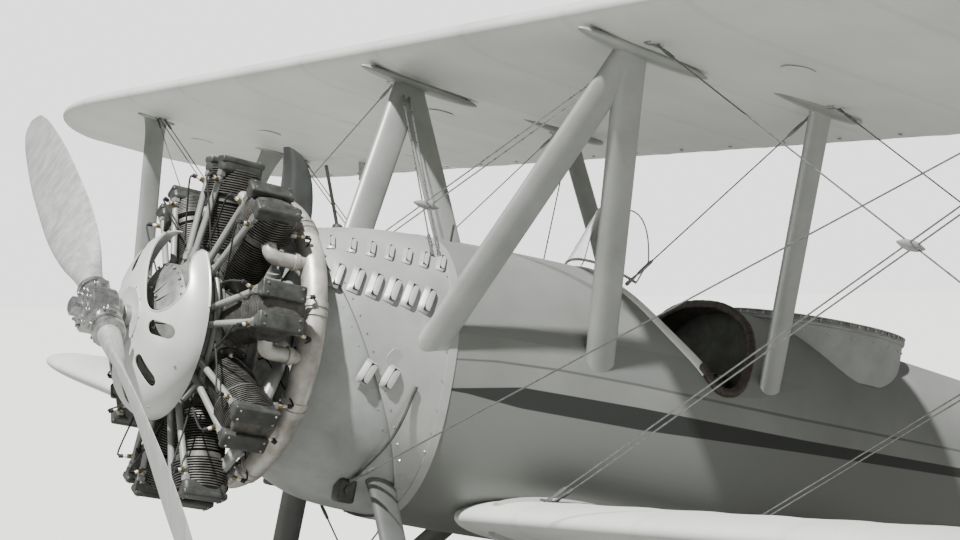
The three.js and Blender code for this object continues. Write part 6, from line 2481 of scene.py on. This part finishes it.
# %% [markdown]
# Each seat is an aluminium bucket with rolled edges on a tube frame. Its cushion and back pad are
# leather over horsehair: a block whose faces a cloth simulation pushes out, held to a few
# millimetres, so that the middle is crowned and the sides pull in between the corners. Piping and
# belts come after the simulation.

# %% Bucket seats
seat = {"half": 0.190, "pan": -0.240, "back": 0.470, "lean": 0.052, "deep": 0.31}


def bucket(y):
    """Bottom, back and sides of a bucket, with a tube along its upper edge."""
    rear, z = y + 0.200, seat["pan"]
    half = seat["half"] - 0.004
    rounded = 0.055

    def wall_point(u, up):
        """Round the bucket from its port front, by the back, to the starboard front."""
        straight = seat["deep"] - rounded
        corner = rounded * math.pi / 2
        back = 2 * (half - rounded)
        total = 2 * straight + 2 * corner + back
        d = u * total
        lean = seat["lean"] * up / seat["back"]
        if d < straight:
            return Vector((half, rear - seat["deep"] + d, z + up))
        if d < straight + corner:
            a = (d - straight) / rounded
            return Vector((half - rounded + rounded * math.cos(a), rear - rounded + rounded * math.sin(a)
                           + lean * math.sin(a), z + up))
        if d < straight + corner + back:
            return Vector((half - rounded - (d - straight - corner), rear + lean, z + up))
        return mirrored_place(wall_point(1 - u, up))

    def height(u):
        t = abs(u - 0.5) * 2
        arm, tall = 0.125 + 0.10 * max(0.8 - t, 0), seat["back"] - 0.004
        blend = min(max((0.62 - t) / 0.22, 0), 1)
        return arm + (tall - arm) * blend ** 2 * (3 - 2 * blend)

    places = [i / 72 for i in range(73)]
    outer = [[wall_point(u, height(u) * s) for s in (0, 0.2, 0.4, 0.6, 0.8, 1.0)] for u in places]
    middle = Vector((0, y, z))
    inner = [[p + (Vector((middle.x, middle.y + 0.03, p.z)) - p).normalized() * 0.003 for p in reversed(row)]
             for row in outer]
    walls = skin([a + b for a, b in zip(outer, inner)])
    rim = pipe([wall_point(u, height(u)) for u in places], 0.0075, 10)
    bottom = block((-half, rear - seat["deep"], z), (half, rear + 0.004, z + 0.004), 0.001)
    return together(walls, bottom), rim


def seat_frame(y):
    tubes = []
    for x in (-0.14, 0.14):
        tubes.append(pipe(curve_through([(x, y - 0.12, -0.398), (x, y - 0.11, -0.30), (x, y - 0.09, -0.243),
                                         (x, y + 0.06, -0.243), (x, y + 0.11, -0.30), (x, y + 0.12, -0.398)],
                                        5), 0.0105, 12))
    tubes += [rod((-0.14, y + s * 0.108, -0.31), (0.14, y + s * 0.108, -0.31), 0.008, 12) for s in (-1, 1)]
    return together(*tubes)


def grown_pad(name, low, high, lean=0.0, cap=0.012, voxel=0.007):
    """A leather pad: a block, remeshed finely, whose faces a cloth simulation pushes out."""
    soft = linked(name, meshed([(block(low, high, 0.016, 3), brown_leather)], 60))
    remesh = soft.modifiers.new("Remesh", "REMESH")
    remesh.mode = "VOXEL"
    remesh.voxel_size = voxel
    fine = evaluated_mesh(soft)
    soft.modifiers.clear()
    soft.data = fine
    start = [v.co.copy() for v in fine.vertices]
    cloth = soft.modifiers.new("Cloth", "CLOTH")
    cloth.settings.use_pressure = True
    cloth.settings.uniform_pressure_force = 4.0
    cloth.settings.effector_weights.gravity = 0.0
    cloth.settings.quality = 4
    for number in range(1, 21):
        bpy.context.scene.frame_set(number)
    swollen = evaluated_mesh(soft)
    soft.modifiers.clear()
    for vertex, origin in zip(swollen.vertices, start):
        step = vertex.co - origin
        if step.length > cap:
            vertex.co = origin + step.normalized() * cap
    soft.data = swollen
    bpy.context.scene.frame_set(1)
    for vertex in soft.data.vertices:
        vertex.co.y += lean * (vertex.co.z - low[2])
    smooth = soft.modifiers.new("Smooth", "SUBSURF")
    smooth.levels = smooth.render_levels = 1
    made = evaluated_mesh(soft)
    made.materials.clear()
    made.materials.append(brown_leather)
    bpy.data.objects.remove(soft)
    return made


def piping(corners, radius=0.0045):
    points = [Vector(c) for c in corners]
    loop = []
    for i, corner in enumerate(points):
        before, after = points[i - 1], points[(i + 1) % len(points)]
        inward_before, inward_after = (before - corner).normalized(), (after - corner).normalized()
        for share in (0.0, 0.25, 0.5, 0.75, 1.0):
            a = corner + inward_before * 0.03 * (1 - share) ** 2
            loop.append(a + inward_after * 0.03 * share ** 2)
    return pipe(loop + [loop[0]], radius, 8)


def belt(points, width=0.045, thick=0.0025):
    rings = []
    points = curve_through(points, 6)
    for i, point in enumerate(points):
        ahead = heading(points, i).normalized()
        side = ahead.cross(Vector((0, -0.3, 1)) if abs(ahead.z) < 0.7 else Vector((0, -1, 0))).normalized()
        out = side.cross(ahead)
        rings.append([point + side * s * width / 2 + out * t for s, t in
                      ((-1, 0), (1, 0), (1, thick), (-1, thick))])
    return skin(rings)


for seat_name, seat_y in (("front", 2.330), ("rear", 3.150)):
    rear = seat_y + 0.200
    shell_shape, rim_shape = bucket(seat_y)
    belts = []
    for side in (-1, 1):
        belts.append(belt([(side * 0.176, rear - 0.06, -0.140), (side * 0.150, rear - 0.13, -0.142),
                           (side * 0.09, rear - 0.19, -0.146), (side * 0.018, rear - 0.20, -0.146)]))
        belts.append(belt([(side * 0.060, rear + 0.062, 0.20), (side * 0.058, rear + 0.040, 0.2355),
                           (side * 0.056, rear - 0.008, 0.180), (side * 0.052, rear - 0.034, 0.06),
                           (side * 0.044, rear - 0.052, -0.08), (side * 0.030, rear - 0.10, -0.140)], 0.038))
    buckle = block((-0.030, rear - 0.226, -0.146), (0.030, rear - 0.176, -0.136), 0.004)
    piece(f"seat_{seat_name}_bucket", [
        (shell_shape, silver_sheet), (rim_shape, silver_sheet), (seat_frame(seat_y), dark_inside),
        (together(*belts), webbing), (buckle, bright_steel)],
        stands_for=(f"seat_{seat_name}",))
    cushion = grown_pad("cushion", (-0.158, rear - 0.300, -0.232), (0.158, rear - 0.044, -0.164))
    cushion_piping = piping([(x, y, -0.168) for x, y in ((0.153, rear - 0.295), (0.153, rear - 0.049),
                                                         (-0.153, rear - 0.049), (-0.153, rear - 0.295))])
    back_pad = grown_pad("back", (-0.138, rear - 0.034, -0.140), (0.138, rear - 0.010, 0.190),
                         seat["lean"] / seat["back"], 0.009)
    pads = (("cushion", [cushion, meshed([(cushion_piping, dark_leather)])], 0.6),
            ("back_pad", [back_pad], 0.5))
    for part_name, meshes, fill in pads:
        pad_piece = piece_of(f"seat_{seat_name}_{part_name}", meshes, crease=60)
print("seats done")

# %% Controls
stick_line = [(0, 2.07, -0.395), (0, 2.06, -0.30), (0, 2.07, -0.16), (0, 2.095, -0.05)]
stick = pipe(curve_through(stick_line, 6), 0.012, 14)
stick_grip = pipe([(0, 2.090, -0.075), (0, 2.094, -0.055), (0, 2.104, -0.010), (0, 2.112, 0.030),
                   (0, 2.114, 0.040)], [0.015, 0.019, 0.0175, 0.018, 0.010], 18)
boot_profile = [(0.070, 0), (0.068, 0.012), (0.045, 0.030), (0.030, 0.036), (0.022, 0.06), (0.014, 0.066)]
stick_boot = turned(boot_profile, 32, centre=(0, 2.07, floor_z), axis=(0, 0, 1), near=(1, 0, 0))
quadrant = block((0.372, 2.00, 0.02), (0.386, 2.14, 0.10), 0.006)
levers = together(*[rod((0.379 - 0.012 * i, 2.07, 0.05), (0.366 - 0.012 * i, 2.03 + 0.03 * i, 0.175),
                        0.004, 10) for i in range(3)])
knobs = together(*[turned([(0, -0.013), (0.009, -0.010), (0.013, 0), (0.009, 0.010), (0, 0.013)], 16,
                          centre=(0.366 - 0.012 * i, 2.03 + 0.03 * i, 0.18), axis=(1, 0, 0))
                   for i in range(3)])
rudder_bar = together(rod((-0.21, 1.90, -0.30), (0.21, 1.90, -0.30), 0.014, 16),
                      *[block((s * 0.17 - 0.045, 1.905, -0.335), (s * 0.17 + 0.045, 1.925, -0.235), 0.006)
                        for s in (-1, 1)], rod((0, 1.90, -0.398), (0, 1.90, -0.30), 0.018, 16))
piece("front_controls", [(stick, bright_steel), (stick_grip, rubber), (stick_boot, dark_leather),
                         (both(quadrant), dark_inside), (levers, bright_steel), (knobs, rubber),
                         (rudder_bar, dark_inside)])

# %% [markdown]
# A turning ring stands round the rear cockpit on a low collar. Its track is a machined ring with
# rollers between two rails, and its inner edge is padded with leather.

# %% Rear ring
ring_centre = (0, rear_well["y"], 0)


def about_well(profile, sides=120):
    return turned(profile, sides, centre=ring_centre, axis=(0, 0, 1), near=(1, 0, 0))


collar_low = 0.300
collar = about_well([(0.361, collar_low), (0.383, collar_low), (0.383, 0.494), (0.390, 0.500),
                     (0.390, 0.507), (0.356, 0.507), (0.356, 0.500), (0.361, 0.494), (0.361, collar_low)])
rails = about_well([(0.354, 0.507), (0.391, 0.507), (0.391, 0.514), (0.385, 0.516), (0.385, 0.524),
                    (0.391, 0.526), (0.391, 0.531), (0.386, 0.5325), (0.358, 0.5325), (0.353, 0.531),
                    (0.353, 0.526), (0.359, 0.524), (0.359, 0.516), (0.354, 0.514), (0.354, 0.507)])
inner_roll = about_well([(0.350 + 0.011 * math.cos(a), 0.505 + 0.011 * math.sin(a))
                         for a in turns(12, 1)])
roller = turned([(0, -0.006), (0.0035, -0.006), (0.0035, 0.006), (0, 0.006)], 10, axis=(0, 0, 1),
                near=(1, 0, 0))


def well_point(radius, angle, height):
    return Vector((radius * math.cos(angle), rear_well["y"] + radius * math.sin(angle), height))


roller_rows = [(well_point(0.387, a, 0.520), (0, 0, 1), (1, 0, 0))
               for a in turns(60)]
collar_bolts = [(well_point(0.383, a, 0.470), (math.cos(a), math.sin(a), 0), (0, 0, 1), 0.8)
                for a in turns(24)]
piece_of("rear_ring", [meshed([(collar, cone_sheet), (rails, cast_aluminium),
                               (inner_roll, dark_leather)], 30),
                       copied(roller, roller_rows, bright_steel),
                       copied(bolt_shape(8 * mm, 5 * mm), collar_bolts, bright_steel)],
         stands_for=("rear_cockpit_ring",))


# %% [markdown]
# The aircraft stands on a plain pale floor.

# %% Floor
floor_half = 60.0
floor_mesh = bpy.data.meshes.new("Floor")
floor_mesh.from_pydata([(-floor_half, -floor_half, 0), (floor_half, -floor_half, 0),
                        (floor_half, floor_half, 0), (-floor_half, floor_half, 0)], [], [(0, 1, 2, 3)])
floor_mesh.materials.append(floor_paper)
floor = linked("Floor", floor_mesh)
